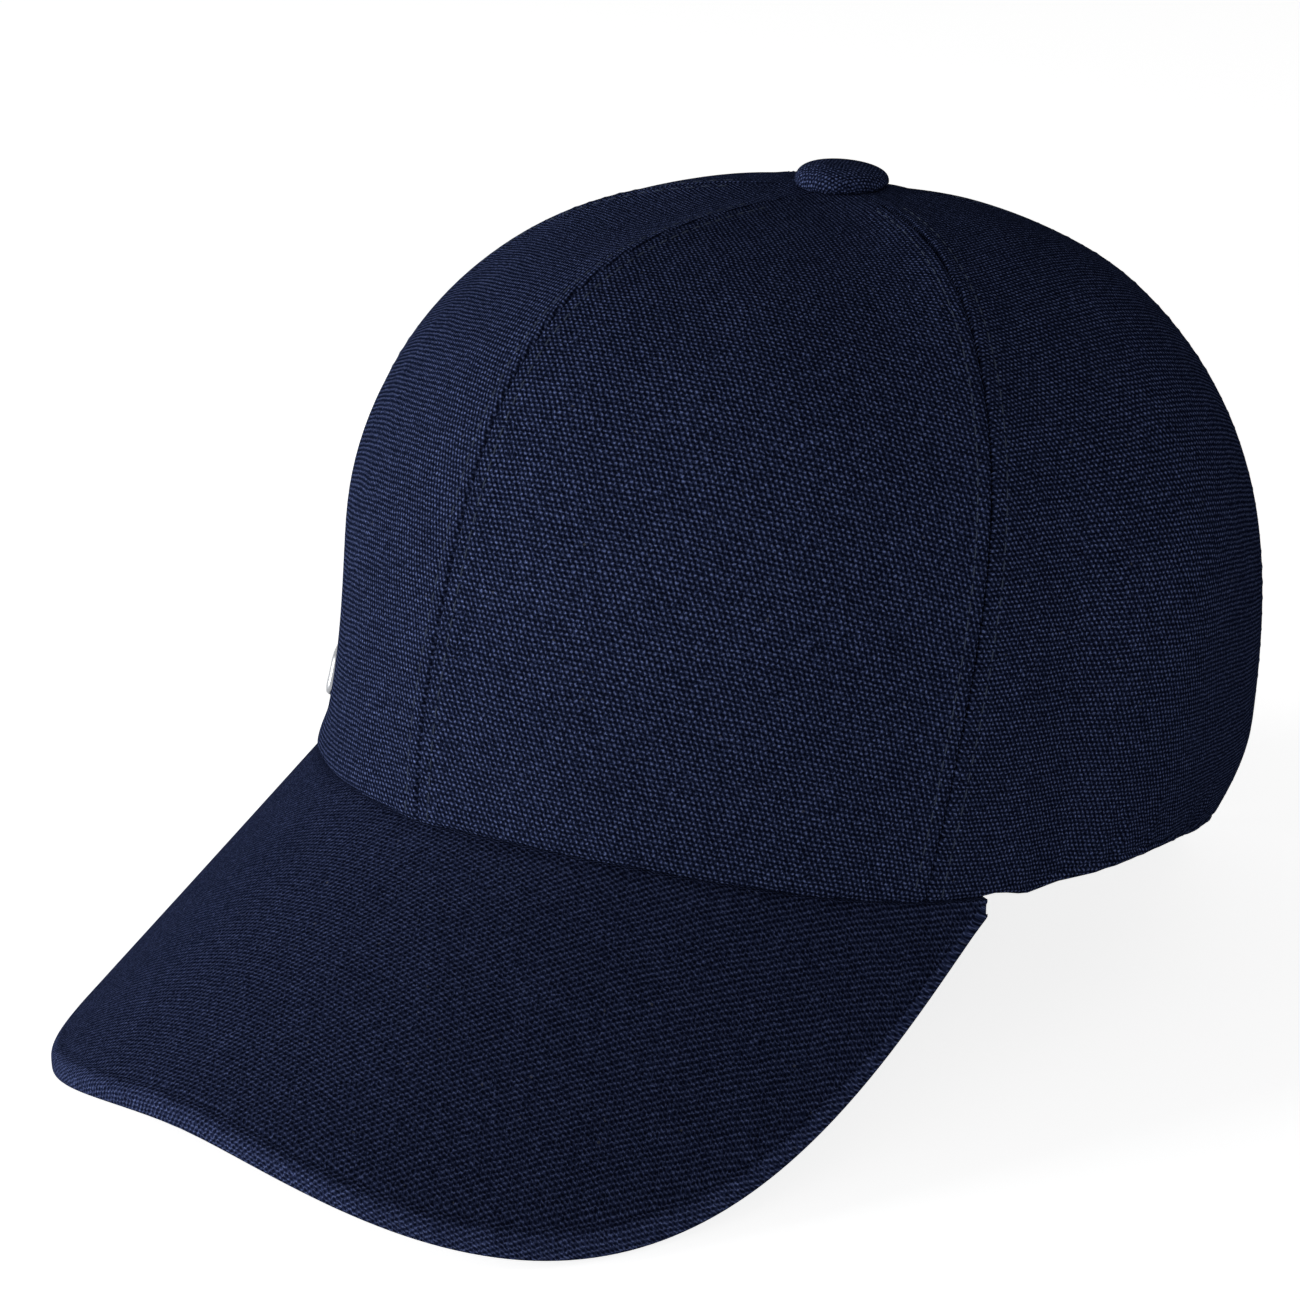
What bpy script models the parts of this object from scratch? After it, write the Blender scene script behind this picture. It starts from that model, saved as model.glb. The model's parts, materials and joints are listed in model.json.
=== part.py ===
"""A six-panel baseball cap with a curved visor, a covered button and a rear strap with a cam buckle.

Metres, +Z up. The visor points to -Y and the wearer's left is +X.
The cap stands at z = 0 on the low edges of its visor and on its rear strap.
Angles round the crown start at the front and grow towards the wearer's left.
"""

import math

import bmesh
import bpy
import numpy as np
from mathutils import Matrix, Vector

# Rim of the crown, seen from above
CROWN_HALF_WIDTH = 0.0859
CROWN_FRONT_REACH = 0.1029
CROWN_BACK_REACH = 0.0988
FRONT_ROUNDNESS = 1.78
BACK_ROUNDNESS = 1.98

# Profile of the crown, with values at the front, front quarter, side, back quarter and back
CROWN_HEIGHT = 0.1429
APEX_SETBACK = 0.0176
APEX_SETBACK_FADE = 1.08
PROFILE_FULLNESS = (3.70, 3.38, 3.06, 2.15, 1.90)
PROFILE_BULGE = (-0.034, 0.012, 0.074, 0.037, 0.045)
BULGE_PEAK = 1.45
RIM_SIDE_RISE = 0.0041
RIM_FLAT_FROM = math.radians(163)
RIM_DROP = 0.0036
RIM_DROP_FULL = math.radians(72)
RIM_DROP_END = math.radians(112)

# Soft forms of the crown: the rim turned in behind the sides, and a dent in the wearer's right front panel
HEM_TUCK = 0.0062
HEM_TUCK_ANGLE = math.radians(118)
HEM_TUCK_REACH = math.radians(27)
HEM_TUCK_HEIGHT = 0.022
DENT_DEPTH = 0.0026
DENT_ANGLE = math.radians(-54)
DENT_REACH = math.radians(14)
DENT_RISE = 0.024
DENT_HEIGHT = 0.018

# Seams between the six panels
SEAM_GAP = 0.0003
FRONT_SEAM_LEAN = math.radians(-7)
SIDE_SEAM_ANGLE = math.radians(60.9)
SIDE_SEAM_LEAN = math.radians(6.6)
SIDE_SEAM_LEVEL = 0.6
REAR_SEAM_ANGLE = math.radians(122)
APEX_HOLE_RADIUS = 0.0035

# Layers of the crown, from the outside in
FIT_GAP = 0.0003
LAYER_GAP = 0.0006
PANEL_THICKNESS = 0.0009
BUCKRAM_THICKNESS = 0.0007
BUCKRAM_TOP = 0.30
TAPE_THICKNESS = 0.0006
TAPE_WIDTH = 0.018
TAPE_TIP_ANGLE = math.radians(25)
LAYER_FOOT = 0.006
STRAP_THICKNESS = 0.0010
SWEATBAND_THICKNESS = 0.0015
SWEATBAND_HEIGHT = 0.036
SWEATBAND_END_ANGLE = math.radians(145)

# Visor
VISOR_LENGTH = 0.0574
VISOR_SLOPE = math.radians(30)
VISOR_ROOT_RADIUS = 0.0636
VISOR_TIP_RADIUS = 0.0706
VISOR_HALF_ANGLE = math.radians(65.0)
VISOR_SQUARENESS = 2.60
VISOR_FLARE = 0.0045
VISOR_END_SHARE = 0.985
VISOR_BOARD_THICKNESS = 0.0017
VISOR_COVER_THICKNESS = 0.0006

# Button at the apex
BUTTON_RADIUS = 0.0092
BUTTON_HEIGHT = 0.0050
BUTTON_COVER_THICKNESS = 0.0008
BUTTON_STEM_RADIUS = 0.0020
BUTTON_BACK_RADIUS = 0.0070
BUTTON_BACK_THICKNESS = 0.0012

# Badge on the wearer's right front panel
BADGE_ANGLE = math.radians(-49)
BADGE_RISE = 0.0145
BADGE_WIDTH = 0.022
BADGE_HEIGHT = 0.010
BADGE_THICKNESS = 0.0016
BADGE_CORNER = 0.0022
BADGE_BEVEL = 0.0004
BADGE_PAD_MARGIN = 0.0008
BADGE_PAD_THICKNESS = 0.0012

# Rear opening, strap and cam buckle
ARCH_HALF_ANGLE = math.radians(27)
ARCH_HEIGHT = 0.048
BINDING_SHARE = 0.07
BINDING_HALF_ANGLE = math.radians(19)
STRAP_HEIGHT = 0.020
STRAP_RISE = 0.0019
STRAP_OVERLAP = math.radians(6)
STRAP_BOW = 0.0020
STRAP_BOW_REACH = math.radians(18)
BUCKLE_ANGLE = math.radians(-169)
BUCKLE_PLATE_THICKNESS = 0.0009
BUCKLE_FRONT_LENGTH = 0.009
BUCKLE_REAR_LENGTH = 0.008
BUCKLE_CRANK_LENGTH = 0.0030
BUCKLE_SLOT_LENGTH = 0.0022
BUCKLE_BAR_LENGTH = 0.0022
BUCKLE_CHEEK_THICKNESS = 0.0010
BUCKLE_CHEEK_RADIUS = 0.0026
BUCKLE_CHEEK_SINK = 0.0003
BUCKLE_SIDE_GAP = 0.0006
PIN_RADIUS = 0.0009
PIN_CLEARANCE = 0.00008
PIN_SETBACK = 0.0050
PIN_RISE = 0.0027
LEVER_BARREL_RADIUS = 0.0019
LEVER_LENGTH = 0.0145
LEVER_THICKNESS = 0.0010
LEVER_LIP = 0.0016
ANCHOR_THICKNESS = 0.0006
ANCHOR_HEIGHT = 0.015
ANCHOR_FOLD_LENGTH = 0.009

# Fineness of the meshes
PANEL_COLUMNS = 9
PANEL_ROWS = 12
HEM_SHARE = 0.07
ARCH_COLUMNS = 6
VISOR_COLUMNS = 26
VISOR_ROWS = 4
SWEATBAND_COLUMNS = 40
STRAP_COLUMNS = 22
STRIP_STEP = 0.003
ROUND_STEPS = 28

NAVY = (0.020, 0.029, 0.060)
VISOR_THICKNESS = 2 * VISOR_COVER_THICKNESS + VISOR_BOARD_THICKNESS + 2 * FIT_GAP
LINING_DEPTH = PANEL_THICKNESS + LAYER_GAP
SWEATBAND_DEPTH = LINING_DEPTH + STRAP_THICKNESS + LAYER_GAP
HALF_TURN = math.pi / 2


def signed_power(value, power):
    return np.sign(value) * np.abs(value) ** power


def smooth_step(value):
    part = np.clip(value, 0.0, 1.0)
    return part * part * (3.0 - 2.0 * part)


def hump(value, centre, reach):
    """A soft bump of height 1."""
    return np.exp(-(((value - centre) / reach) ** 2))


def around(values, angle):
    """A smooth value at an angle round the crown, through equally spaced values from front to back."""
    orders = np.arange(len(values))
    stations = np.linspace(0.0, math.pi, len(values))
    weights = np.linalg.solve(np.cos(np.outer(stations, orders)), values)
    return np.cos(np.multiply.outer(angle, orders)) @ weights


def signed_turn(angle):
    return np.mod(angle + math.pi, 2 * math.pi) - math.pi


def turn_from_front(angle):
    return np.abs(signed_turn(angle))


def rim_outline(angle):
    """The rim seen from above: an egg of two half ovals."""
    front = np.cos(angle) > 0
    power = 2.0 / np.where(front, FRONT_ROUNDNESS, BACK_ROUNDNESS)
    reach = np.where(front, CROWN_FRONT_REACH, CROWN_BACK_REACH)
    x = CROWN_HALF_WIDTH * signed_power(np.sin(angle), power)
    y = -reach * signed_power(np.cos(angle), power)
    return x, y


def visor_edge(share):
    """The outer edge of the visor seen from above, from its right end (-1) to its left end (1)."""
    turn = np.asarray(share) * HALF_TURN
    x_end, y_end = rim_outline(VISOR_HALF_ANGLE)
    reach = CROWN_FRONT_REACH + VISOR_LENGTH + y_end
    power = 2.0 / VISOR_SQUARENESS
    x = x_end * signed_power(np.sin(turn), power) + VISOR_FLARE * np.sin(2 * turn)
    y = y_end - reach * np.abs(np.cos(turn)) ** power
    return x, y


def visor_drop(x, y):
    """How far the top of the visor falls from its highest point: an arch that slopes down to the front."""
    ahead = -(y + CROWN_FRONT_REACH)
    bend = 1.0 / VISOR_ROOT_RADIUS + (1.0 / VISOR_TIP_RADIUS - 1.0 / VISOR_ROOT_RADIUS) * ahead / VISOR_LENGTH
    return bend * x**2 / 2 + math.tan(VISOR_SLOPE) * ahead


def visor_top(x, y):
    """Height of the visor's top, with the lowest edge of the visor resting at z = 0."""
    lowest = visor_drop(*visor_edge(np.linspace(-1.0, 1.0, 2 * VISOR_COLUMNS))).max()
    return lowest + VISOR_THICKNESS - visor_drop(x, y)


def rim_height(angle):
    """The rim follows the visor in front, then falls to the surface that the cap stands on."""
    turn = turn_from_front(angle)
    over_visor = visor_top(*rim_outline(angle)) + FIT_GAP
    visor_end = visor_top(*rim_outline(VISOR_HALF_ANGLE)) + FIT_GAP
    along = np.clip((turn - VISOR_HALF_ANGLE) / (RIM_FLAT_FROM - VISOR_HALF_ANGLE), 0.0, 1.0)
    rise = RIM_SIDE_RISE * 6.75 * along * (1.0 - along) ** 2
    fall = smooth_step((turn - VISOR_HALF_ANGLE) / (RIM_DROP_FULL - VISOR_HALF_ANGLE))
    back = 1.0 - smooth_step((turn - RIM_DROP_FULL) / (RIM_DROP_END - RIM_DROP_FULL))
    behind = visor_end * (1.0 - smooth_step(along)) + rise - RIM_DROP * fall * back
    return np.where(turn <= VISOR_HALF_ANGLE, over_visor, behind)


def crown_surface(angle, polar):
    """A point on the outside of the crown. The polar angle is 0 at the apex and a right angle at the rim."""
    fullness = around(PROFILE_FULLNESS, angle)
    sine = np.sin(polar)
    cosine = np.maximum(np.cos(polar), 0.0)
    size = (sine**fullness + cosine**fullness) ** (-1.0 / fullness)
    up = cosine * size
    out = sine * size * (1.0 + around(PROFILE_BULGE, angle) * np.sin(math.pi * up**BULGE_PEAK))
    x_rim, y_rim = rim_outline(angle)
    z_rim = rim_height(angle)
    rise = (CROWN_HEIGHT - z_rim) * up
    tuck = HEM_TUCK * hump(turn_from_front(angle), HEM_TUCK_ANGLE, HEM_TUCK_REACH)
    tuck = tuck * np.clip(1.0 - rise / HEM_TUCK_HEIGHT, 0.0, 1.0) ** 2
    dent = DENT_DEPTH * hump(signed_turn(angle), DENT_ANGLE, DENT_REACH) * hump(rise, DENT_RISE, DENT_HEIGHT)
    out = out - (tuck + dent) / np.hypot(x_rim, y_rim)
    return np.stack([x_rim * out, y_rim * out + APEX_SETBACK * up**APEX_SETBACK_FADE, z_rim + rise], -1)


def crown_point(angle, polar, depth):
    """A point under the outside of the crown, straight in from it. At the rim the way in is level."""
    angle, polar, depth = np.broadcast_arrays(angle, polar, depth)
    step = 1e-4
    round_way = crown_surface(angle + step, polar) - crown_surface(angle - step, polar)
    lower = crown_surface(angle, np.minimum(polar + step, HALF_TURN))
    down_way = lower - crown_surface(angle, np.maximum(polar - step, step))
    normal = np.cross(down_way, round_way)
    normal[..., 2] *= polar < HALF_TURN - step
    normal /= np.linalg.norm(normal, axis=-1, keepdims=True)
    return crown_surface(angle, polar) - normal * depth[..., None]


def polar_at_rise(angle, rise):
    """The polar angle at a height above the rim."""
    fullness = around(PROFILE_FULLNESS, angle)
    up = np.clip(rise / (CROWN_HEIGHT - rim_height(angle)), 0.0, 1.0)
    return np.arctan2((1.0 - up**fullness) ** (1.0 / fullness), up)


def polar_at_share(angle, share):
    """The polar angle at a share of the way from the apex hole (0) to the lower edge of the panel (1)."""
    first = np.arctan(APEX_HOLE_RADIUS / np.hypot(*rim_outline(angle)))
    from_back = math.pi - turn_from_front(angle)
    arch_rise = ARCH_HEIGHT * np.sqrt(np.clip(1.0 - (from_back / ARCH_HALF_ANGLE) ** 2, 0.0, 1.0))
    return first + (polar_at_rise(angle, arch_rise) - first) * share


def apex_distance(angle, share):
    """How far a point of the crown lies from the upright line through the apex."""
    points = crown_surface(angle, polar_at_share(angle, share))
    return np.hypot(points[..., 0], points[..., 1] - APEX_SETBACK)


def share_above_rim(angle, rise):
    """The share of the way down a whole panel that lies at a height above the rim."""
    first = polar_at_share(angle, 0.0)
    return (polar_at_rise(angle, rise) - first) / (HALF_TURN - first)


def side_seam(share, side):
    return SIDE_SEAM_ANGLE + SIDE_SEAM_LEAN * (SIDE_SEAM_LEVEL - share)


def rear_seam(share, side):
    return np.full_like(share, REAR_SEAM_ANGLE)


def front_seam(share, side):
    """The front seam runs to the wearer's right of the apex, so it leans the other way for the left panel."""
    return side * FRONT_SEAM_LEAN * (1.0 - share) ** 2


def back_seam(share, side):
    return np.full_like(share, math.pi)


def material(name, colour, roughness, metallic=0.0):
    made = bpy.data.materials.new(name)
    made.use_nodes = True
    shader = made.node_tree.nodes["Principled BSDF"]
    shader.inputs["Base Color"].default_value = (*colour, 1.0)
    shader.inputs["Roughness"].default_value = roughness
    shader.inputs["Metallic"].default_value = metallic
    return made


def finish(name, work, parent, finish_material):
    """Turns a worked mesh into a named object under its parent."""
    bmesh.ops.recalc_face_normals(work, faces=work.faces)
    mesh = bpy.data.meshes.new(name)
    work.to_mesh(mesh)
    work.free()
    mesh.shade_smooth()
    mesh.set_sharp_from_angle(angle=math.radians(40))
    made = bpy.data.objects.new(name, mesh)
    made.data.materials.append(finish_material)
    bpy.context.scene.collection.objects.link(made)
    made.parent = parent
    return made


def shell(name, outer, inner, parent, finish_material):
    """A closed sheet between two grids of points that have the same columns and rows."""
    work = bmesh.new()
    columns, rows = outer.shape[:2]
    sides = [[[work.verts.new(point) for point in column] for column in grid] for grid in (outer, inner)]
    for grid in sides:
        for i in range(columns - 1):
            for j in range(rows - 1):
                work.faces.new((grid[i][j], grid[i + 1][j], grid[i + 1][j + 1], grid[i][j + 1]))
    border = [(i, 0) for i in range(columns)]
    border += [(columns - 1, j) for j in range(1, rows)]
    border += [(i, rows - 1) for i in reversed(range(columns - 1))]
    border += [(0, j) for j in reversed(range(1, rows - 1))]
    front, back = sides
    for (i, j), (k, m) in zip(border, border[1:] + border[:1]):
        work.faces.new((front[i][j], front[k][m], back[k][m], back[i][j]))
    return finish(name, work, parent, finish_material)


def turned(name, profile, parent, finish_material):
    """A closed outline of radius and height points, turned about Z. Points at radius 0 share one vertex."""
    work = bmesh.new()
    rings = []
    for radius, height in profile:
        if radius == 0:
            rings.append([work.verts.new((0.0, 0.0, height))] * ROUND_STEPS)
            continue
        turns = [2 * math.pi * step / ROUND_STEPS for step in range(ROUND_STEPS)]
        rings.append([work.verts.new((radius * math.cos(a), radius * math.sin(a), height)) for a in turns])
    for low, high in zip(rings, rings[1:] + rings[:1]):
        for step in range(ROUND_STEPS):
            after = (step + 1) % ROUND_STEPS
            corners = dict.fromkeys((low[step], low[after], high[after], high[step]))
            if len(corners) > 2:
                work.faces.new(corners)
    return finish(name, work, parent, finish_material)


def ribbon(path, thickness):
    """The outline of a strip of even thickness that bends along a path."""
    points = [Vector(point) for point in path]
    ways = [(after - before).normalized() for before, after in zip(points, points[1:])]
    left, right = [], []
    for index, point in enumerate(points):
        before = ways[max(index - 1, 0)]
        after = ways[min(index, len(ways) - 1)]
        mid = (before + after).normalized()
        side = Vector((-mid.y, mid.x)) * (thickness / 2 / mid.dot(after))
        left.append(point + side)
        right.append(point - side)
    return left + right[::-1]


def extruded(name, outline, low, high, parent, finish_material):
    """An outline in X and Y, raised from one height to another."""
    work = bmesh.new()
    floor = [work.verts.new((x, y, low)) for x, y in outline]
    roof = [work.verts.new((x, y, high)) for x, y in outline]
    work.faces.new(floor)
    work.faces.new(roof)
    for i in range(len(outline)):
        j = (i + 1) % len(outline)
        work.faces.new((floor[i], floor[j], roof[j], roof[i]))
    return finish(name, work, parent, finish_material)


def circle(centre, radius):
    turns = [2 * math.pi * step / ROUND_STEPS for step in range(ROUND_STEPS)]
    return [(centre[0] + radius * math.cos(a), centre[1] + radius * math.sin(a)) for a in turns]


def combine(target, tool, operation):
    """Adds a Boolean to the target. The tool stays as a wire guide."""
    tool.hide_render = True
    tool.display_type = "WIRE"
    modifier = target.modifiers.new(tool.name, "BOOLEAN")
    modifier.operation = operation
    modifier.solver = "EXACT"
    modifier.object = tool


def panel_shares():
    return np.append(np.linspace(0.0, 1.0 - HEM_SHARE, PANEL_ROWS), (1.0 - HEM_SHARE / 2, 1.0))


def rows_between(first, last):
    """The rows of a panel that lie between two shares, with the two shares themselves."""
    rows = panel_shares()
    middle = rows[(rows > first) & (rows < last)]
    return np.concatenate([[first], middle, [last]])[None, :]


def crown_panel(name, side, first_seam, last_seam, parts, cap, cloth):
    """One panel between two seams, on the wearer's left (1) or right (-1)."""
    share = panel_shares()[None, :]
    first = first_seam(share, side)
    last = last_seam(share, side)
    first = side * (first + SEAM_GAP / 2 / apex_distance(side * first, share))
    last = side * (last - SEAM_GAP / 2 / apex_distance(side * last, share))
    angle = first + (last - first) * np.asarray(parts)[:, None]
    polar = polar_at_share(angle, share)
    outer = crown_point(angle, polar, 0.0)
    inner = crown_point(angle, polar, PANEL_THICKNESS)
    return shell(name, outer, inner, cap, cloth)


def arch_parts():
    """Columns of a back panel: even up to the rear opening, then closer where its edge is steep."""
    span = math.pi - REAR_SEAM_ANGLE
    start = 1.0 - ARCH_HALF_ANGLE / span
    plain = np.linspace(0.0, start, PANEL_COLUMNS - ARCH_COLUMNS + 1)
    turns = np.linspace(0.0, HALF_TURN, ARCH_COLUMNS + 1)[1:]
    return np.append(plain, 1.0 - (1.0 - start) * np.cos(turns))


def crown_panels(cap, cloth):
    even = np.linspace(0.0, 1.0, PANEL_COLUMNS)
    for side, word in ((1, "left"), (-1, "right")):
        crown_panel("front_panel_" + word, side, front_seam, side_seam, even, cap, cloth)
        crown_panel("side_panel_" + word, side, side_seam, rear_seam, even, cap, cloth)
        crown_panel("back_panel_" + word, side, rear_seam, back_seam, arch_parts(), cap, cloth)


def buckrams(cap, net):
    """Stiff net behind each front panel, between the seam tapes."""
    share = rows_between(BUCKRAM_TOP, share_above_rim(0.0, LAYER_FOOT))
    margin = TAPE_WIDTH / 2 + LAYER_GAP
    for side, word in ((1, "left"), (-1, "right")):
        first = front_seam(share, side)
        last = side_seam(share, side)
        first = first + margin / apex_distance(side * first, share)
        last = last - margin / apex_distance(side * last, share)
        angle = first + (last - first) * np.linspace(0.0, 1.0, PANEL_COLUMNS - 2)[:, None]
        polar = polar_at_share(side * angle, share)
        outer = crown_point(side * angle, polar, LINING_DEPTH)
        inner = crown_point(side * angle, polar, LINING_DEPTH + BUCKRAM_THICKNESS)
        shell("buckram_" + word, outer, inner, cap, net)


def seam_tape(name, side, seam, foot, cap, tape):
    """A tape that covers a seam inside the crown and narrows towards the apex."""
    share = rows_between(0.0, foot)
    middle = side * seam(share, side)
    half = np.minimum(TAPE_WIDTH / 2 / apex_distance(middle, share), TAPE_TIP_ANGLE)
    angle = middle + half * np.linspace(-1.0, 1.0, 3)[:, None]
    polar = polar_at_share(angle, share)
    outer = crown_point(angle, polar, LINING_DEPTH)
    inner = crown_point(angle, polar, LINING_DEPTH + TAPE_THICKNESS)
    return shell(name, outer, inner, cap, tape)


def seam_tapes(cap, tape):
    seam_tape("seam_tape_front", 1, front_seam, share_above_rim(0.0, LAYER_FOOT), cap, tape)
    for side, word in ((1, "left"), (-1, "right")):
        side_foot = share_above_rim(SIDE_SEAM_ANGLE, LAYER_FOOT)
        rear_foot = share_above_rim(REAR_SEAM_ANGLE, LAYER_FOOT)
        seam_tape("seam_tape_front_" + word, side, side_seam, side_foot, cap, tape)
        seam_tape("seam_tape_rear_" + word, side, rear_seam, rear_foot, cap, tape)
    seam_tape("seam_tape_back", 1, back_seam, 1.0 - BINDING_SHARE - FIT_GAP / ARCH_HEIGHT, cap, tape)


def sweatband(cap, band):
    """A band inside the rim. Over the visor its foot reaches down behind the visor's root."""
    angle = np.linspace(-SWEATBAND_END_ANGLE, SWEATBAND_END_ANGLE, SWEATBAND_COLUMNS + 1)[:, None]
    upper = np.linspace(SWEATBAND_HEIGHT, HEM_TUCK_HEIGHT, 2)
    rise = np.append(upper, (HEM_TUCK_HEIGHT / 2, HEM_TUCK_HEIGHT / 4, 0.0))[None, :]
    fade = smooth_step((VISOR_HALF_ANGLE + math.radians(8) - np.abs(angle)) / math.radians(8))
    grids = []
    for depth in (SWEATBAND_DEPTH, SWEATBAND_DEPTH + SWEATBAND_THICKNESS):
        grid = crown_point(angle, polar_at_rise(angle, rise), depth)
        foot = grid[:, -1:].copy()
        foot[..., 2] -= VISOR_THICKNESS * fade + FIT_GAP
        grids.append(np.concatenate([grid, foot], axis=1))
    shell("sweatband", *grids, cap, band)


def visor_grid(share, rows, drop):
    """Points of the visor at a depth under its top, from its root inside the crown out to its edge."""
    angle = share * VISOR_HALF_ANGLE
    x_root, y_root = rim_outline(angle)
    x_edge, y_edge = visor_edge(share)
    tuck = crown_point(angle, HALF_TURN, SWEATBAND_DEPTH - FIT_GAP)
    z_root = visor_top(x_root, y_root)
    lines = [np.stack([tuck[..., 0], tuck[..., 1], z_root - drop], -1)]
    lines.append(np.stack([x_root, y_root, z_root - drop], -1))
    width = np.hypot(x_edge - x_root, y_edge - y_root)
    for row in rows:
        part = row(width) if callable(row) else row
        x = x_root + (x_edge - x_root) * part
        y = y_root + (y_edge - y_root) * part
        lines.append(np.stack([x, y, visor_top(x, y) - drop], -1))
    return np.stack(lines, axis=1)


def visor(cap, cloth, board_material):
    """A stiff board between two cloths. The top cloth wraps round the edge."""
    share = np.linspace(-VISOR_END_SHARE, VISOR_END_SHARE, VISOR_COLUMNS + 1)
    inner_rows = list(np.linspace(0.0, 1.0, VISOR_ROWS + 1)[1:-1])

    def short_of_edge(gap):
        return lambda width: 1.0 - gap / width

    wall = short_of_edge(VISOR_COVER_THICKNESS)
    inside = short_of_edge(VISOR_COVER_THICKNESS + FIT_GAP)
    top = visor_grid(share, inner_rows + [1.0], 0.0)
    edge_foot = visor_grid(share, [1.0], VISOR_THICKNESS)[:, -1:]
    under = visor_grid(share, inner_rows + [wall], VISOR_COVER_THICKNESS)
    wall_foot = visor_grid(share, [wall], VISOR_THICKNESS)[:, -1:]
    outer = np.concatenate([top, edge_foot], axis=1)
    inner = np.concatenate([under, wall_foot], axis=1)
    shell("visor_top_cover", outer, inner, cap, cloth)
    board_top = VISOR_COVER_THICKNESS + FIT_GAP
    board_foot = board_top + VISOR_BOARD_THICKNESS
    board = [visor_grid(share, inner_rows + [inside], drop) for drop in (board_top, board_foot)]
    shell("visor_board", *board, cap, board_material)
    cover_top = board_foot + FIT_GAP
    cover = [visor_grid(share, inner_rows + [inside], drop) for drop in (cover_top, VISOR_THICKNESS)]
    shell("visor_under_cover", *cover, cap, cloth)


def lowest_near_apex(radius, depth):
    """Lowest height, within a radius of the apex, of a layer at a depth under the crown."""
    angle = np.linspace(-math.pi, math.pi, 73)
    polar = np.arctan(radius / np.hypot(*rim_outline(angle)))
    return float(crown_point(angle, polar, depth)[..., 2].min())


def button(cap, cloth, metal):
    """A cloth-covered dome whose stem passes through the apex into a washer."""
    seat = bpy.data.objects.new("button_seat", None)
    bpy.context.scene.collection.objects.link(seat)
    seat.parent = cap
    seat.location = (0.0, APEX_SETBACK, CROWN_HEIGHT)
    lift = FIT_GAP

    def dome(radius, top, foot):
        turns = np.linspace(HALF_TURN, 0.0, 8)[:-1]
        sides = [(radius * math.sin(a) ** 0.8, foot + (top - foot) * math.cos(a) ** 0.8) for a in turns]
        return sides + [(0, top)]

    wall = BUTTON_COVER_THICKNESS
    outer = dome(BUTTON_RADIUS, lift + BUTTON_HEIGHT, lift)
    inner = dome(BUTTON_RADIUS - wall, lift + BUTTON_HEIGHT - wall, lift)
    turned("button_cover", outer + inner[::-1], seat, cloth)
    core = dome(BUTTON_RADIUS - wall - FIT_GAP, lift + BUTTON_HEIGHT - wall - FIT_GAP, lift)
    tapes = lowest_near_apex(BUTTON_BACK_RADIUS, LINING_DEPTH + TAPE_THICKNESS) - CROWN_HEIGHT
    under = tapes - LAYER_GAP - FIT_GAP
    foot = under - BUTTON_BACK_THICKNESS
    stem = [(0, foot), (BUTTON_STEM_RADIUS, foot), (BUTTON_STEM_RADIUS, lift)]
    turned("button_shell", stem + core, seat, metal)
    bore = BUTTON_STEM_RADIUS + FIT_GAP
    washer = [(bore, under), (BUTTON_BACK_RADIUS, under), (BUTTON_BACK_RADIUS, foot), (bore, foot)]
    turned("button_back", washer, seat, metal)


def rounded_rectangle(width, height, corner, steps=5):
    points = []
    for quarter in range(4):
        middle = Vector((width / 2 - corner, height / 2 - corner))
        x = middle.x if quarter in (0, 3) else -middle.x
        y = middle.y if quarter in (0, 1) else -middle.y
        for step in range(steps + 1):
            turn = HALF_TURN * (quarter + step / steps)
            points.append((x + corner * math.cos(turn), y + corner * math.sin(turn)))
    return points


def badge(cap, chrome, felt):
    """A flat bare plate and the pad that beds it on the curved panel."""
    polar = polar_at_rise(BADGE_ANGLE, BADGE_RISE)
    across = np.linspace(-0.5, 0.5, 9) * (BADGE_WIDTH - 2 * BADGE_PAD_MARGIN)
    tall = np.linspace(-0.5, 0.5, 5) * (BADGE_HEIGHT - 2 * BADGE_PAD_MARGIN)
    centre = crown_point(BADGE_ANGLE, polar, 0.0)
    normal = centre - crown_point(BADGE_ANGLE, polar, CROWN_HALF_WIDTH)
    out = Vector(normal).normalized()
    right = Vector((0.0, 0.0, 1.0)).cross(out).normalized()
    up = out.cross(right)
    face = Matrix((right, up, out)).transposed()
    pad_top = FIT_GAP + BADGE_PAD_THICKNESS
    outer, inner = [], []
    for s in across:
        for t in tall:
            flat = Vector(centre) + right * s + up * t + out * pad_top
            outer.append(flat)
            inner.append(panel_under(flat, out))
    size = (len(across), len(tall), 3)
    shell("badge_pad", np.reshape(outer, size), np.reshape(inner, size), cap, felt)
    outline = rounded_rectangle(BADGE_WIDTH, BADGE_HEIGHT, BADGE_CORNER)
    plate = extruded("badge_plate", outline, 0.0, BADGE_THICKNESS, cap, chrome)
    bevel = plate.modifiers.new("edge", "BEVEL")
    bevel.width = BADGE_BEVEL
    bevel.segments = 2
    bevel.limit_method = "ANGLE"
    seat = Vector(centre) + out * (pad_top + FIT_GAP)
    plate.matrix_local = Matrix.Translation(seat) @ face.to_4x4()


def panel_under(point, out):
    """The point just off the panel that lies under a point, straight along the badge's normal."""
    angle = math.atan2(point.x, -point.y)
    rise = point.z
    for _ in range(12):
        polar = polar_at_rise(angle, np.maximum(rise - rim_height(angle), 0.0))
        found = Vector(crown_point(angle, polar, -FIT_GAP))
        miss = (point - found) - out * (point - found).dot(out)
        side = Vector((0.0, 0.0, 1.0)).cross(out).normalized()
        angle += miss.dot(side) / math.hypot(found.x, found.y)
        rise += miss.z
    return found


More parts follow.
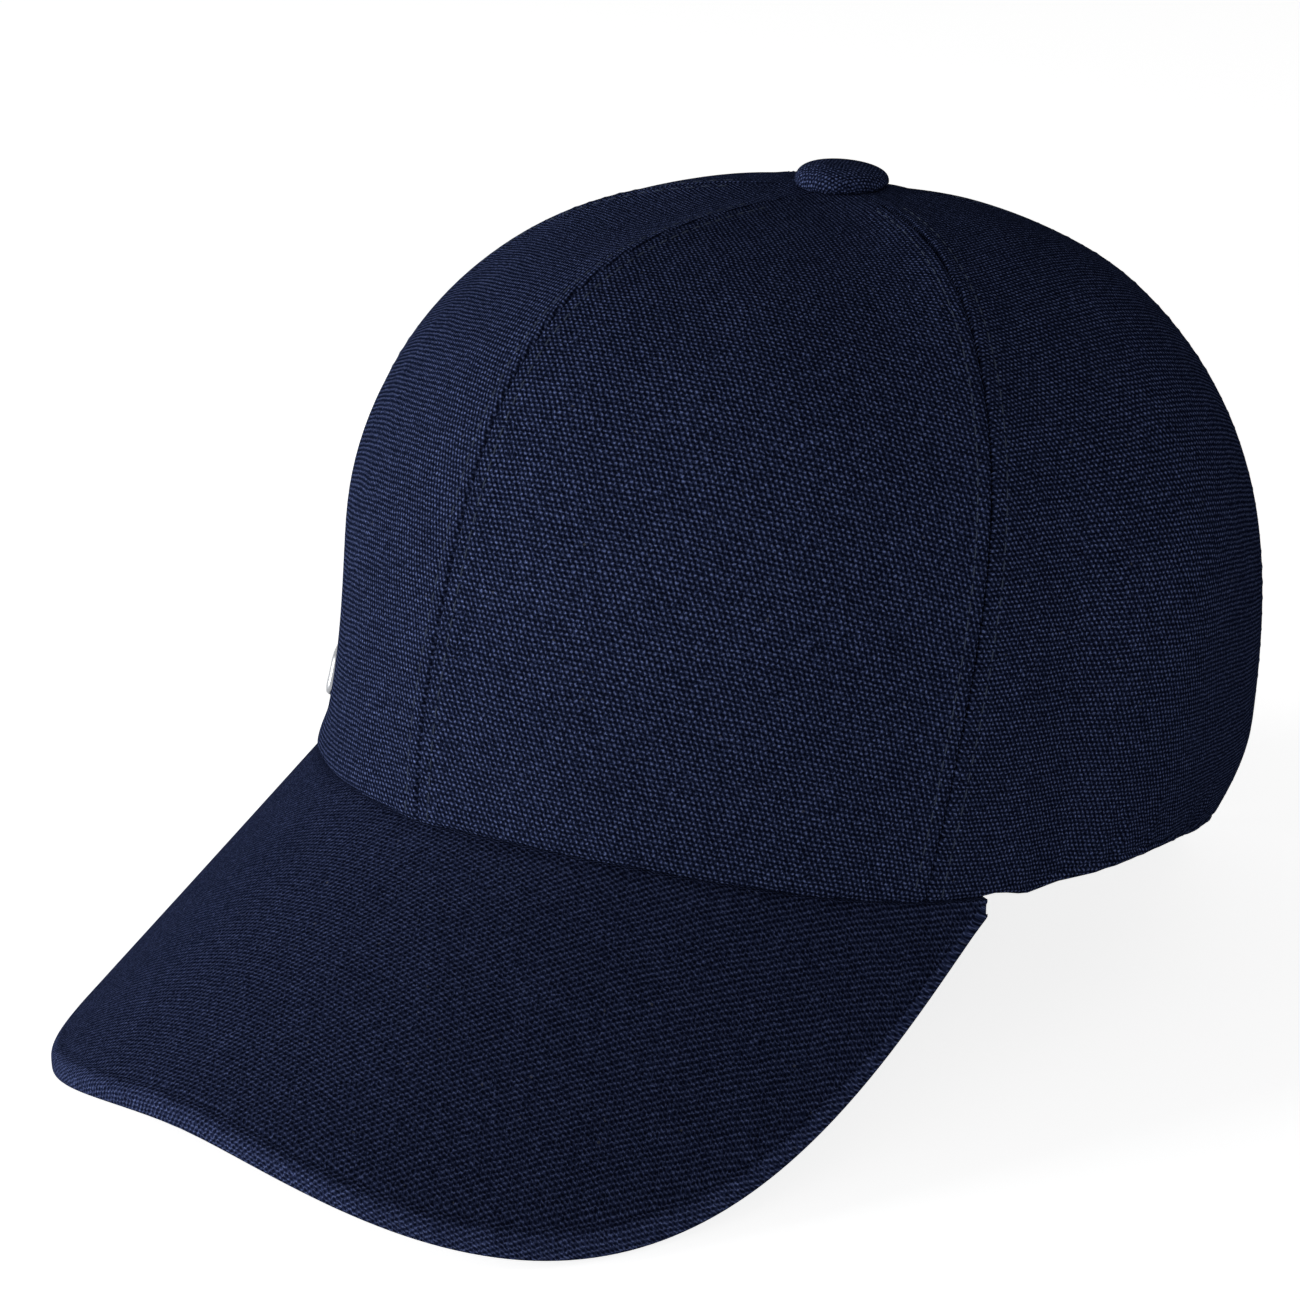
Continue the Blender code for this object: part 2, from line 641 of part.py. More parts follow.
def arch_binding(cap, tape):
    """A tape inside the top of the rear opening, above the strap."""
    angle = math.pi + np.linspace(-BINDING_HALF_ANGLE, BINDING_HALF_ANGLE, 2 * ARCH_COLUMNS + 1)[:, None]
    share = np.linspace(1.0 - BINDING_SHARE, 1.0, 3)[None, :]
    polar = polar_at_share(angle, share)
    grids = [crown_point(angle, polar, LINING_DEPTH + d) for d in (0.0, TAPE_THICKNESS)]
    shell("arch_binding", *grids, cap, tape)


def strap_depth(angle):
    """The strap lies behind the back panels and bows out at the buckle."""
    away = np.abs(np.mod(angle - BUCKLE_ANGLE + math.pi, 2 * math.pi) - math.pi)
    return LINING_DEPTH - STRAP_BOW * smooth_step(1.0 - away / STRAP_BOW_REACH)


def rear_strap(cap, webbing):
    reach = ARCH_HALF_ANGLE + STRAP_OVERLAP
    angle = math.pi + np.linspace(-reach, reach, STRAP_COLUMNS + 1)[:, None]
    rise = np.linspace(STRAP_RISE, STRAP_RISE + STRAP_HEIGHT, 4)[None, :]
    polar = polar_at_rise(angle, rise)
    grids = [crown_point(angle, polar, strap_depth(angle) + d) for d in (0.0, STRAP_THICKNESS)]
    shell("rear_strap", *grids, cap, webbing)


def bent_strip(name, path, thickness, half_height, cap, finish_material):
    """A strip that bends with the strap. Its path runs along the strap and out from the strap's middle."""
    points = [Vector(path[0])]
    for before, after in zip(path, path[1:]):
        way = Vector(after) - Vector(before)
        steps = math.ceil(way.length / STRIP_STEP)
        points += [Vector(before) + way * (step + 1) / steps for step in range(steps)]
    outline = np.array(ribbon(points, thickness))
    middle = STRAP_RISE + STRAP_HEIGHT / 2
    rise = np.linspace(middle - half_height, middle + half_height, 4)[None, :]
    grids = []
    for side in (outline[:len(points)], outline[len(points):][::-1]):
        angle = BUCKLE_ANGLE - side[:, :1] / CROWN_HALF_WIDTH
        depth = strap_depth(angle) + STRAP_THICKNESS / 2 - side[:, 1:]
        grids.append(crown_point(angle, polar_at_rise(angle, rise), depth))
    return shell(name, *grids, cap, finish_material)


def buckle_place(cap):
    """An empty on the strap's middle, with X along the strap, Y outwards and Z up."""
    polar = polar_at_rise(BUCKLE_ANGLE, STRAP_RISE + STRAP_HEIGHT / 2)
    depth = float(strap_depth(BUCKLE_ANGLE)) + STRAP_THICKNESS / 2
    middle = Vector(crown_point(BUCKLE_ANGLE, polar, depth))
    out = (middle - Vector(crown_point(BUCKLE_ANGLE, polar, depth + CROWN_HALF_WIDTH))).normalized()
    along = out.cross((0.0, 0.0, 1.0)).normalized()
    place = bpy.data.objects.new("buckle_place", None)
    bpy.context.scene.collection.objects.link(place)
    place.parent = cap
    axes = Matrix((along, out, along.cross(out))).transposed()
    place.matrix_local = Matrix.Translation(middle) @ axes.to_4x4()
    return place


def buckle(cap, brass, webbing):
    """A cranked plate with two cheeks, a pin between them, a lever on the pin and a tab on the bar."""
    place = buckle_place(cap)
    half_inside = STRAP_HEIGHT / 2 + BUCKLE_SIDE_GAP
    half_outside = half_inside + BUCKLE_CHEEK_THICKNESS
    plate_y = -STRAP_THICKNESS / 2 - LAYER_GAP - BUCKLE_PLATE_THICKNESS / 2
    bar_y = plate_y - ANCHOR_THICKNESS - FIT_GAP
    slot_start = -BUCKLE_REAR_LENGTH - BUCKLE_CRANK_LENGTH
    bar_start = slot_start - BUCKLE_SLOT_LENGTH
    bar_end = bar_start - BUCKLE_BAR_LENGTH
    path = [(BUCKLE_FRONT_LENGTH, plate_y), (-BUCKLE_REAR_LENGTH, plate_y)]
    path += [(slot_start, bar_y), (bar_end, bar_y)]
    frame = bent_strip("buckle_frame", path, BUCKLE_PLATE_THICKNESS, half_outside, cap, brass)
    pin_at = (-PIN_SETBACK, PIN_RISE)
    cheek = circle(pin_at, BUCKLE_CHEEK_RADIUS)[:ROUND_STEPS // 2 + 1]
    root = plate_y - BUCKLE_CHEEK_SINK
    cheek += [(pin_at[0] - BUCKLE_CHEEK_RADIUS, root), (pin_at[0] + BUCKLE_CHEEK_RADIUS, root)]
    for word, low, high in (("upper", half_inside, half_outside), ("lower", -half_outside, -half_inside)):
        combine(frame, extruded("cheek_" + word, cheek, low, high, place, brass), "UNION")
    slot_path = [(slot_start, bar_y), (bar_start, bar_y)]
    slot_half = ANCHOR_HEIGHT / 2 + BUCKLE_SIDE_GAP
    slot = bent_strip("slot", slot_path, 3 * BUCKLE_PLATE_THICKNESS, slot_half, cap, brass)
    combine(frame, slot, "DIFFERENCE")
    bore = circle(pin_at, PIN_RADIUS + PIN_CLEARANCE)
    pin_hole = extruded("pin_hole", bore, -2 * half_outside, 2 * half_outside, place, brass)
    combine(frame, pin_hole, "DIFFERENCE")
    extruded("buckle_pin", circle(pin_at, PIN_RADIUS), -half_outside, half_outside, place, brass)
    lever(place, pin_at, half_inside - FIT_GAP, brass)
    strap_anchor(cap, bar_start, bar_end, bar_y, webbing)


def lever(place, pin_at, half, brass):
    """The lever turns on the pin. Its origin is on the pin's axis."""
    blade_y = LEVER_BARREL_RADIUS - LEVER_THICKNESS / 2
    lip = (LEVER_LENGTH, blade_y + LEVER_LIP)
    path = [(0.0, blade_y), (LEVER_LENGTH - 2 * LEVER_LIP, blade_y), lip]
    blade = extruded("lever_blade", ribbon(path, LEVER_THICKNESS), -half, half, place, brass)
    barrel = extruded("buckle_lever", circle((0.0, 0.0), LEVER_BARREL_RADIUS), -half, half, place, brass)
    hole = circle((0.0, 0.0), PIN_RADIUS + PIN_CLEARANCE)
    bore = extruded("lever_bore", hole, -2 * half, 2 * half, place, brass)
    for piece in (blade, barrel, bore):
        piece.location = (*pin_at, 0.0)
    combine(barrel, blade, "UNION")
    combine(barrel, bore, "DIFFERENCE")


def strap_anchor(cap, bar_start, bar_end, bar_y, webbing):
    """A short tab folded round the buckle's bar. It runs behind the strap to the sweatband's end."""
    reach = BUCKLE_PLATE_THICKNESS / 2 + FIT_GAP + ANCHOR_THICKNESS / 2
    turn = bar_start + FIT_GAP + ANCHOR_THICKNESS / 2
    far = (BUCKLE_ANGLE + SWEATBAND_END_ANGLE) * CROWN_HALF_WIDTH + 2 * FIT_GAP
    path = [(far, bar_y + reach), (turn, bar_y + reach), (turn, bar_y - reach)]
    path.append((bar_end - ANCHOR_FOLD_LENGTH, bar_y - reach))
    bent_strip("strap_anchor", path, ANCHOR_THICKNESS, ANCHOR_HEIGHT / 2, cap, webbing)


def centre_on_box(cap):
    """Moves the whole cap so that its box is centred over the origin and stands at z = 0."""
    bpy.context.view_layer.update()
    graph = bpy.context.evaluated_depsgraph_get()
    corners = []
    for made in bpy.context.scene.collection.objects:
        if made.type == "MESH" and not made.hide_render:
            shaped = made.evaluated_get(graph)
            corners += [shaped.matrix_world @ vertex.co for vertex in shaped.data.vertices]
    corners = np.array(corners)
    low, high = corners.min(axis=0), corners.max(axis=0)
    cap.location = (-(low[0] + high[0]) / 2, -(low[1] + high[1]) / 2, -low[2])


def main():
    for old in list(bpy.data.objects):
        bpy.data.objects.remove(old)
    cap = bpy.data.objects.new("cap", None)
    bpy.context.scene.collection.objects.link(cap)
    crown_cloth = material("crown_canvas", NAVY, 0.85)
    visor_cloth = material("visor_canvas", (0.014, 0.020, 0.043), 0.85)
    button_cloth = material("button_canvas", NAVY, 0.85)
    net = material("buckram_net", (0.62, 0.61, 0.57), 0.9)
    tape = material("tape_twill", (0.016, 0.022, 0.046), 0.8)
    band = material("sweatband_twill", (0.016, 0.022, 0.046), 0.85)
    webbing = material("strap_canvas", NAVY, 0.85)
    board = material("visor_board_plastic", (0.55, 0.55, 0.53), 0.5)
    felt = material("badge_felt", (0.01, 0.012, 0.02), 0.95)
    chrome = material("badge_metal", (0.78, 0.78, 0.80), 0.12, 1.0)
    steel = material("button_steel", (0.55, 0.56, 0.58), 0.35, 1.0)
    brass = material("buckle_metal", (0.62, 0.60, 0.57), 0.3, 1.0)
    crown_panels(cap, crown_cloth)
    buckrams(cap, net)
    seam_tapes(cap, tape)
    sweatband(cap, band)
    visor(cap, visor_cloth, board)
    button(cap, button_cloth, steel)
    badge(cap, chrome, felt)
    arch_binding(cap, tape)
    rear_strap(cap, webbing)
    buckle(cap, brass, webbing)
    centre_on_box(cap)


main()
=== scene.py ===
"""Looks for a navy canvas baseball cap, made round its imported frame.

Metres, +Z up, with the visor towards -Y and the wearer's left towards +X.
Crown, visor and strap follow the formulas of the solids on finer grids, with seams, hems, stitches and weave.
"""

import json
import math

import bpy
import numpy as np
from mathutils import Matrix, Vector

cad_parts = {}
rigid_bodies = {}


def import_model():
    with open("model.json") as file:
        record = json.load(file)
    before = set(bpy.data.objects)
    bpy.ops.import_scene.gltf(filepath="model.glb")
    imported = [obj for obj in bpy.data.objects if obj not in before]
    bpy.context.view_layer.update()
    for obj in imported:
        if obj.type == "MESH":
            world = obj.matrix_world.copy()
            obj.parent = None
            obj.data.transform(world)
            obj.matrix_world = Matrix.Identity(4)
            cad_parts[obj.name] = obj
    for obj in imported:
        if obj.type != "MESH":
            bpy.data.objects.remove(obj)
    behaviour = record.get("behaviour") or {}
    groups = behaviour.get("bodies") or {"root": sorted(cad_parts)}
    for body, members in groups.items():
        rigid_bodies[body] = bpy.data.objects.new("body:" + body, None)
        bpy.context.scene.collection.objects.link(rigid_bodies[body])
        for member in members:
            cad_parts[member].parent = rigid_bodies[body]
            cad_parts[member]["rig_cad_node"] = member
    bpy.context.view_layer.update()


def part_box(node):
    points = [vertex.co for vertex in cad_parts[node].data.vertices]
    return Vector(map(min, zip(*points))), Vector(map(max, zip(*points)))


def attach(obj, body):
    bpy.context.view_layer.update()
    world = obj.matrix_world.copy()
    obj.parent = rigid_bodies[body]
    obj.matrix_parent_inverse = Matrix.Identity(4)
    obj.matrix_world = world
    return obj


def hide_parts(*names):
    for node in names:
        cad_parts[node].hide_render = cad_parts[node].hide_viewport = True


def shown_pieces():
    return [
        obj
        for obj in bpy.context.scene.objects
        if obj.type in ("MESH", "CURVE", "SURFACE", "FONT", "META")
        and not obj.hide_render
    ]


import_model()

HALF_TURN = math.pi / 2
MM = 0.001

# Rim and profile of the crown, as in the solids apart from the dent, the hem and the rim behind the visor
CROWN_HALF_WIDTH = 0.0859
CROWN_FRONT_REACH = 0.1029
CROWN_BACK_REACH = 0.0988
FRONT_ROUNDNESS = 1.78
BACK_ROUNDNESS = 1.98
CROWN_HEIGHT = 0.1429
APEX_SETBACK = 0.0176
APEX_SETBACK_FADE = 1.08
PROFILE_FULLNESS = (3.70, 3.38, 3.06, 2.15, 1.90)
PROFILE_BULGE = (-0.034, 0.012, 0.074, 0.037, 0.045)
BULGE_PEAK = 1.45
HEM_TUCK = 0.0050
HEM_TUCK_ANGLE = math.radians(118)
HEM_TUCK_REACH = math.radians(27)
HEM_TUCK_HEIGHT = 0.022
DENT_DEPTH = 0.0060
DENT_ANGLE = math.radians(-54)
DENT_REACH = math.radians(18)
DENT_RISE = 0.0200
DENT_HEIGHT = 0.0180
DENT_START = 0.009
RIM_SIDE_RISE = 0.0041
RIM_FLAT_FROM = math.radians(163)
RIM_DROP = 0.0036
RIM_DROP_FULL = math.radians(72)
RIM_DROP_END = math.radians(97)
REAR_RISE = 0.0034
REAR_RISE_ANGLE = math.radians(128)
REAR_RISE_REACH = math.radians(13)

# Seams and layers of the crown, as in the solids
SEAM_GAP = 0.0003
FRONT_SEAM_LEAN = math.radians(-7)
SIDE_SEAM_ANGLE = math.radians(60.9)
SIDE_SEAM_LEAN = math.radians(6.6)
SIDE_SEAM_LEVEL = 0.6
REAR_SEAM_ANGLE = math.radians(122)
APEX_HOLE_RADIUS = 0.0035
FIT_GAP = 0.0003
LINING_DEPTH = 0.0015
PANEL_THICKNESS = 0.0009
BUCKRAM_THICKNESS = 0.0007
BUCKRAM_TOP = 0.30
TAPE_THICKNESS = 0.0006
TAPE_WIDTH = 0.018
TAPE_TIP_ANGLE = math.radians(25)
LAYER_FOOT = 0.006
STRAP_THICKNESS = 0.0010
SWEATBAND_DEPTH = 0.0031
SWEATBAND_THICKNESS = 0.0015
SWEATBAND_HEIGHT = 0.036
SWEATBAND_END_ANGLE = math.radians(145)

# Visor, as in the solids
VISOR_LENGTH = 0.0574
VISOR_SLOPE = math.radians(30)
VISOR_ROOT_RADIUS = 0.0636
VISOR_TIP_RADIUS = 0.0706
VISOR_HALF_ANGLE = math.radians(65.0)
VISOR_SQUARENESS = 2.60
VISOR_FLARE = 0.0045
VISOR_END_SHARE = 0.9995
VISOR_THICKNESS = 0.0035
VISOR_COVER_THICKNESS = 0.0006

# Button, a little lower than its solid, and badge, 1 mm higher
BUTTON_RADIUS = 0.0090
BUTTON_RISE = 0.0043
BUTTON_COVER_THICKNESS = 0.0008
BUTTON_FOOT = 0.7 * MM
BUTTON_TILT = math.radians(4)
BUTTON_LOW_SIDE = (0.76, 0.65)
BADGE_ANGLE = math.radians(-49)
BADGE_RISE = 0.0155
BADGE_WIDTH = 0.022
BADGE_HEIGHT = 0.010
BADGE_SQUARENESS = 5.0

# Rear closure, as in the solids
ARCH_HALF_ANGLE = math.radians(27)
ARCH_HEIGHT = 0.048
BINDING_SHARE = 0.07
BINDING_HALF_ANGLE = math.radians(19)
STRAP_HEIGHT = 0.020
STRAP_RISE = 0.0019
STRAP_OVERLAP = math.radians(6)
STRAP_BOW = 0.0020
STRAP_BOW_REACH = math.radians(18)
BUCKLE_ANGLE = math.radians(-169)
BUCKLE_BEVEL = 0.18 * MM

# Sewing, and the visor's edge
SEAM_ZONE = 0.008
SEAM_STEPS = (0.0, 0.02, 0.045, 0.075, 0.11, 0.16, 0.22, 0.28, 0.35, 0.42, 0.5, 0.6, 0.7, 0.84, 1.0)
STITCH_OFFSET = 0.0028
STITCH_PITCH = 0.0031
STITCH_LENGTH = 0.0024
STITCH_RADIUS = 0.00013
ARCH_STITCH_OFFSET = 0.005
SEAM_STITCH_ROW = 9
TAPE_STITCH_ROW = 14
ARCH_STITCH_COLUMN = 24
TAPE_STITCH_OFFSET = 1.8 * MM
TAPE_FOOT_GAP = 0.05 * MM
BAND_STITCH_OFFSETS = (4.0 * MM, -7.0 * MM)
UNDER_STITCH_FIRST = 6.0 * MM
UNDER_STITCH_LAST = 45.0 * MM
UNDER_STITCH_STEP = 6.5 * MM
UNDER_STITCH_MARGIN = 10.0 * MM
TURN_UNDER = 0.0025
VISOR_TOP_ROWS = 34
EDGE_SQUARENESS = 0.42
EDGE_SHARE = 0.45
TURN_UNDER_SHARE = 0.3
EDGE_CREASE = 0.25 * MM
EDGE_CREASE_OFFSET = 1.1 * MM
EDGE_CREASE_REACH = 0.6 * MM
EDGE_CREASE_FADE = 0.02

# The cloth round the visor's edge carries a tag, and the canvas paints it lighter by this share: a painted
# highlight on the forward-facing edge
EDGE_LIGHT_TAG = 1e-5
EDGE_PAINTED_LIGHT = 0.6

# Folds of the side panels, with angles in degrees
FOLD_ANGLE = 74.0
FOLD_LEAN = 4.0
FOLD_LEAN_HEIGHT = 0.08
FOLD_DEPTH = 2.3 * MM
FOLD_REACH = 4.6
FOLD_FADE_RISE = 0.040
FOLD_FADE_HEIGHT = 0.065
SWELL_RISE = 0.9 * MM
SWELL_BEHIND = 17.0
SWELL_REACH = 8.0
SECOND_DEPTH = 0.6 * MM
SECOND_BEHIND = 33.0
SECOND_FADE_RISE = 0.02
SECOND_FADE_HEIGHT = 0.05
PUCKER = 0.5 * MM
PUCKER_RISE = 5.5 * MM
PUCKER_HEIGHT = 5.0 * MM
PUCKER_FROM = 64.0
PUCKER_TO = 104.0

# Relief of seams, hem and panels
SEAM_GROOVE = 0.55 * MM
SEAM_GROOVE_REACH = 0.34 * MM
SEAM_RIDGE = 0.30 * MM
SEAM_RIDGE_WIDTH = 2.2 * MM
SEAM_RIDGE_FADE = 4.5 * MM
STITCH_DIMPLE = 0.10 * MM
STITCH_DIMPLE_REACH = 0.55 * MM
HEM_ROLL = 0.62 * MM
HEM_ROLL_REACH = 0.6 * MM
HEM_CREASE = 0.50 * MM
HEM_CREASE_OFFSET = 1.9 * MM
HEM_CREASE_REACH = 0.48 * MM
FRONT_BOW = 1.5 * MM
SIDE_BOW = 0.9 * MM
BACK_BOW = 0.7 * MM
BOW_REACH = 0.45
PANEL_WAVE = 0.28 * MM
PANEL_SINK = 1.0 * MM
SINK_FRONT_ANGLE = math.radians(50)
SINK_FRONT_REACH = math.radians(45)
SINK_FRONT_RISE = 0.094
SINK_FRONT_HEIGHT = 0.022
SINK_TOP_RISE = 0.106
SINK_TOP_HEIGHT = 0.014

# Soft form of the sweatband
BAND_FOOT_RISE = 1.2 * MM
BAND_FOOT_TURN = math.radians(8)
BAND_ROLL = 0.45 * MM
BAND_ROLL_REACH = 0.5 * MM
BAND_CREASE = 0.30 * MM
BAND_CREASE_OFFSET = 4.0 * MM
BAND_CREASE_REACH = 0.7 * MM
BAND_PUCKER = 0.10 * MM
BAND_PUCKER_PITCH = 7.5 * MM
BAND_PUCKER_OFFSET = 6.5 * MM
BAND_PUCKER_REACH = 4.0 * MM

# Camera, in the frame of the crown's formulas
CAMERA_PLACE = (0.37127, -0.47396, 0.27210)
CAMERA_FORWARD = (-0.61093, 0.71439, -0.34120)
CAMERA_RIGHT = (0.76168, 0.64792, -0.00724)
CAMERA_LENS = 90.19
CAMERA_SENSOR = 36.0

# Studio: each light's turn from the front, height, distance, size and power
WHITE = (1.0, 1.0, 1.0, 1.0)
FLOOR_SIZE = 12.0
FLOOR_SHADE = 0.88
FLOOR_GLOW = 0.80
AMBIENT = 0.16
LIGHT_TARGET = (0.0, 0.0, 0.07)
LIGHTS = (
    ("key", math.radians(-45), 0.24, 1.6, 1.0, 24.0),
    ("fill", math.radians(38), 0.24, 1.6, 1.0, 7.5),
)

button_low, button_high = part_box("button_cover")
PLACE = np.array([
    (button_low.x + button_high.x) / 2,
    (button_low.y + button_high.y) / 2 - APEX_SETBACK,
    button_low.z - FIT_GAP - CROWN_HEIGHT,
])


def signed_power(value, power):
    return np.sign(value) * np.abs(value) ** power


def smooth_step(value):
    part = np.clip(value, 0.0, 1.0)
    return part * part * (3.0 - 2.0 * part)


def hump(value, centre, reach):
    """A soft bump of height 1."""
    return np.exp(-(((value - centre) / reach) ** 2))


def around(values, angle):
    """A smooth value at an angle round the crown, through equally spaced values from front to back."""
    orders = np.arange(len(values))
    stations = np.linspace(0.0, math.pi, len(values))
    weights = np.linalg.solve(np.cos(np.outer(stations, orders)), values)
    return np.cos(np.multiply.outer(angle, orders)) @ weights


def signed_turn(angle):
    return np.mod(angle + math.pi, 2 * math.pi) - math.pi


def turn_from_front(angle):
    return np.abs(signed_turn(angle))


def rim_outline(angle):
    """The rim seen from above: an egg of two half ovals."""
    front = np.cos(angle) > 0
    power = 2.0 / np.where(front, FRONT_ROUNDNESS, BACK_ROUNDNESS)
    reach = np.where(front, CROWN_FRONT_REACH, CROWN_BACK_REACH)
    x = CROWN_HALF_WIDTH * signed_power(np.sin(angle), power)
    y = -reach * signed_power(np.cos(angle), power)
    return x, y


def visor_edge(share):
    """The outer edge of the visor seen from above, from its right end (-1) to its left end (1)."""
    turn = np.asarray(share) * HALF_TURN
    x_end, y_end = rim_outline(VISOR_HALF_ANGLE)
    reach = CROWN_FRONT_REACH + VISOR_LENGTH + y_end
    power = 2.0 / VISOR_SQUARENESS
    x = x_end * signed_power(np.sin(turn), power) + VISOR_FLARE * np.sin(2 * turn)
    y = y_end - reach * np.abs(np.cos(turn)) ** power
    return x, y


def visor_drop(x, y):
    """How far the top of the visor falls from its highest point: an arch that slopes down to the front."""
    ahead = -(y + CROWN_FRONT_REACH)
    bend = 1.0 / VISOR_ROOT_RADIUS + (1.0 / VISOR_TIP_RADIUS - 1.0 / VISOR_ROOT_RADIUS) * ahead / VISOR_LENGTH
    return bend * x**2 / 2 + math.tan(VISOR_SLOPE) * ahead


VISOR_LOWEST = float(visor_drop(*visor_edge(np.linspace(-1.0, 1.0, 52))).max())


def visor_top(x, y):
    """Height of the visor's top, with the lowest edge of the visor resting at z = 0."""
    return VISOR_LOWEST + VISOR_THICKNESS - visor_drop(x, y)


def rim_height(angle):
    """The rim follows the visor in front, then falls to the surface that the cap stands on."""
    turn = turn_from_front(angle)
    over_visor = visor_top(*rim_outline(angle)) + FIT_GAP
    visor_end = visor_top(*rim_outline(VISOR_HALF_ANGLE)) + FIT_GAP
    along = np.clip((turn - VISOR_HALF_ANGLE) / (RIM_FLAT_FROM - VISOR_HALF_ANGLE), 0.0, 1.0)
    rise = RIM_SIDE_RISE * 6.75 * along * (1.0 - along) ** 2
    fall = smooth_step((turn - VISOR_HALF_ANGLE) / (RIM_DROP_FULL - VISOR_HALF_ANGLE))
    back = 1.0 - smooth_step((turn - RIM_DROP_FULL) / (RIM_DROP_END - RIM_DROP_FULL))
    rear = REAR_RISE * hump(turn, REAR_RISE_ANGLE, REAR_RISE_REACH)
    behind = visor_end * (1.0 - smooth_step(along)) + rise + rear - RIM_DROP * fall * back
    return np.where(turn <= VISOR_HALF_ANGLE, over_visor, behind)


def crown_surface(angle, polar):
    """A point on the outside of the crown. The polar angle is 0 at the apex and a right angle at the rim."""
    fullness = around(PROFILE_FULLNESS, angle)
    sine = np.sin(polar)
    cosine = np.maximum(np.cos(polar), 0.0)
    size = (sine**fullness + cosine**fullness) ** (-1.0 / fullness)
    up = cosine * size
    out = sine * size * (1.0 + around(PROFILE_BULGE, angle) * np.sin(math.pi * up**BULGE_PEAK))
    x_rim, y_rim = rim_outline(angle)
    z_rim = rim_height(angle)
    rise = (CROWN_HEIGHT - z_rim) * up
    turn = turn_from_front(angle)
    low = np.clip(1.0 - rise / HEM_TUCK_HEIGHT, 0.0, 1.0) ** 2
    tuck = HEM_TUCK * hump(turn, HEM_TUCK_ANGLE, HEM_TUCK_REACH) * low
    dent = DENT_DEPTH * hump(signed_turn(angle), DENT_ANGLE, DENT_REACH) * hump(rise, DENT_RISE, DENT_HEIGHT)
    dent = dent * smooth_step(rise / DENT_START)
    out = out - (tuck + dent) / np.hypot(x_rim, y_rim)
    return np.stack([x_rim * out, y_rim * out + APEX_SETBACK * up**APEX_SETBACK_FADE, z_rim + rise], -1)


def crown_point(angle, polar, depth):
    """A point under the outside of the crown, straight in from it. At the rim the way in is level."""
    angle, polar, depth = np.broadcast_arrays(angle, polar, depth)
    step = 1e-4
    round_way = crown_surface(angle + step, polar) - crown_surface(angle - step, polar)
    lower = crown_surface(angle, np.minimum(polar + step, HALF_TURN))
    down_way = lower - crown_surface(angle, np.maximum(polar - step, step))
    normal = np.cross(down_way, round_way)
    normal[..., 2] *= polar < HALF_TURN - step
    normal /= np.linalg.norm(normal, axis=-1, keepdims=True)
    return crown_surface(angle, polar) - normal * depth[..., None]


def polar_at_rise(angle, rise):
    """The polar angle at a height above the rim."""
    fullness = around(PROFILE_FULLNESS, angle)
    up = np.clip(rise / (CROWN_HEIGHT - rim_height(angle)), 0.0, 1.0)
    return np.arctan2((1.0 - up**fullness) ** (1.0 / fullness), up)


def polar_at_share(angle, share):
    """The polar angle at a share of the way from the apex hole (0) to the lower edge of the panel (1)."""
    first = np.arctan(APEX_HOLE_RADIUS / np.hypot(*rim_outline(angle)))
    from_back = math.pi - turn_from_front(angle)
    arch_rise = ARCH_HEIGHT * np.sqrt(np.clip(1.0 - (from_back / ARCH_HALF_ANGLE) ** 2, 0.0, 1.0))
    return first + (polar_at_rise(angle, arch_rise) - first) * share


def apex_distance(angle, share):
    """How far a point of the crown lies from the upright line through the apex."""
    points = crown_surface(angle, polar_at_share(angle, share))
    return np.hypot(points[..., 0], points[..., 1] - APEX_SETBACK)


def share_above_rim(angle, rise):
    """The share of the way down a whole panel that lies at a height above the rim."""
    first = polar_at_share(angle, 0.0)
    return (polar_at_rise(angle, rise) - first) / (HALF_TURN - first)


def front_seam(share, side):
    """The front seam runs to the wearer's right of the apex, so it leans the other way for the left panel."""
    return side * FRONT_SEAM_LEAN * (1.0 - share) ** 2


def side_seam(share, side):
    return SIDE_SEAM_ANGLE + SIDE_SEAM_LEAN * (SIDE_SEAM_LEVEL - share)


def rear_seam(share, side):
    return np.full_like(share, REAR_SEAM_ANGLE)


def back_seam(share, side):
    return np.full_like(share, math.pi)


def between_seams(first_seam, last_seam, side, share, margin):
    """Angles along the two seams of a panel on one side, each moved in by a margin."""
    first = side * first_seam(share, side)
    last = side * last_seam(share, side)
    first = first + side * margin / apex_distance(first, share)
    return first, last - side * margin / apex_distance(last, share)


def strap_depth(angle):
    """The strap lies behind the back panels and bows out at the buckle."""
    away = turn_from_front(angle - BUCKLE_ANGLE)
    return LINING_DEPTH - STRAP_BOW * smooth_step(1.0 - away / STRAP_BOW_REACH)


def run_along(grid, axis):
    """Length along a grid of points from its first line, for each point."""
    steps = np.linalg.norm(np.diff(grid, axis=axis), axis=-1)
    zero = np.zeros_like(np.take(steps, [0], axis=axis))
    return np.cumsum(np.concatenate([zero, steps], axis=axis), axis=axis)


def add_object(name, data):
    made = bpy.data.objects.new(name, data)
    bpy.context.scene.collection.objects.link(made)
    return made


def add_node(tree, kind, links, **settings):
    """One shader node, with a link or a constant for each socket that is named."""
    made = tree.nodes.new("ShaderNode" + kind)
    for key, value in settings.items():
        setattr(made, key, value)
    for socket, value in links.items():
        if isinstance(value, bpy.types.NodeSocket):
            tree.links.new(value, made.inputs[socket])
        else:
            made.inputs[socket].default_value = value
    return made


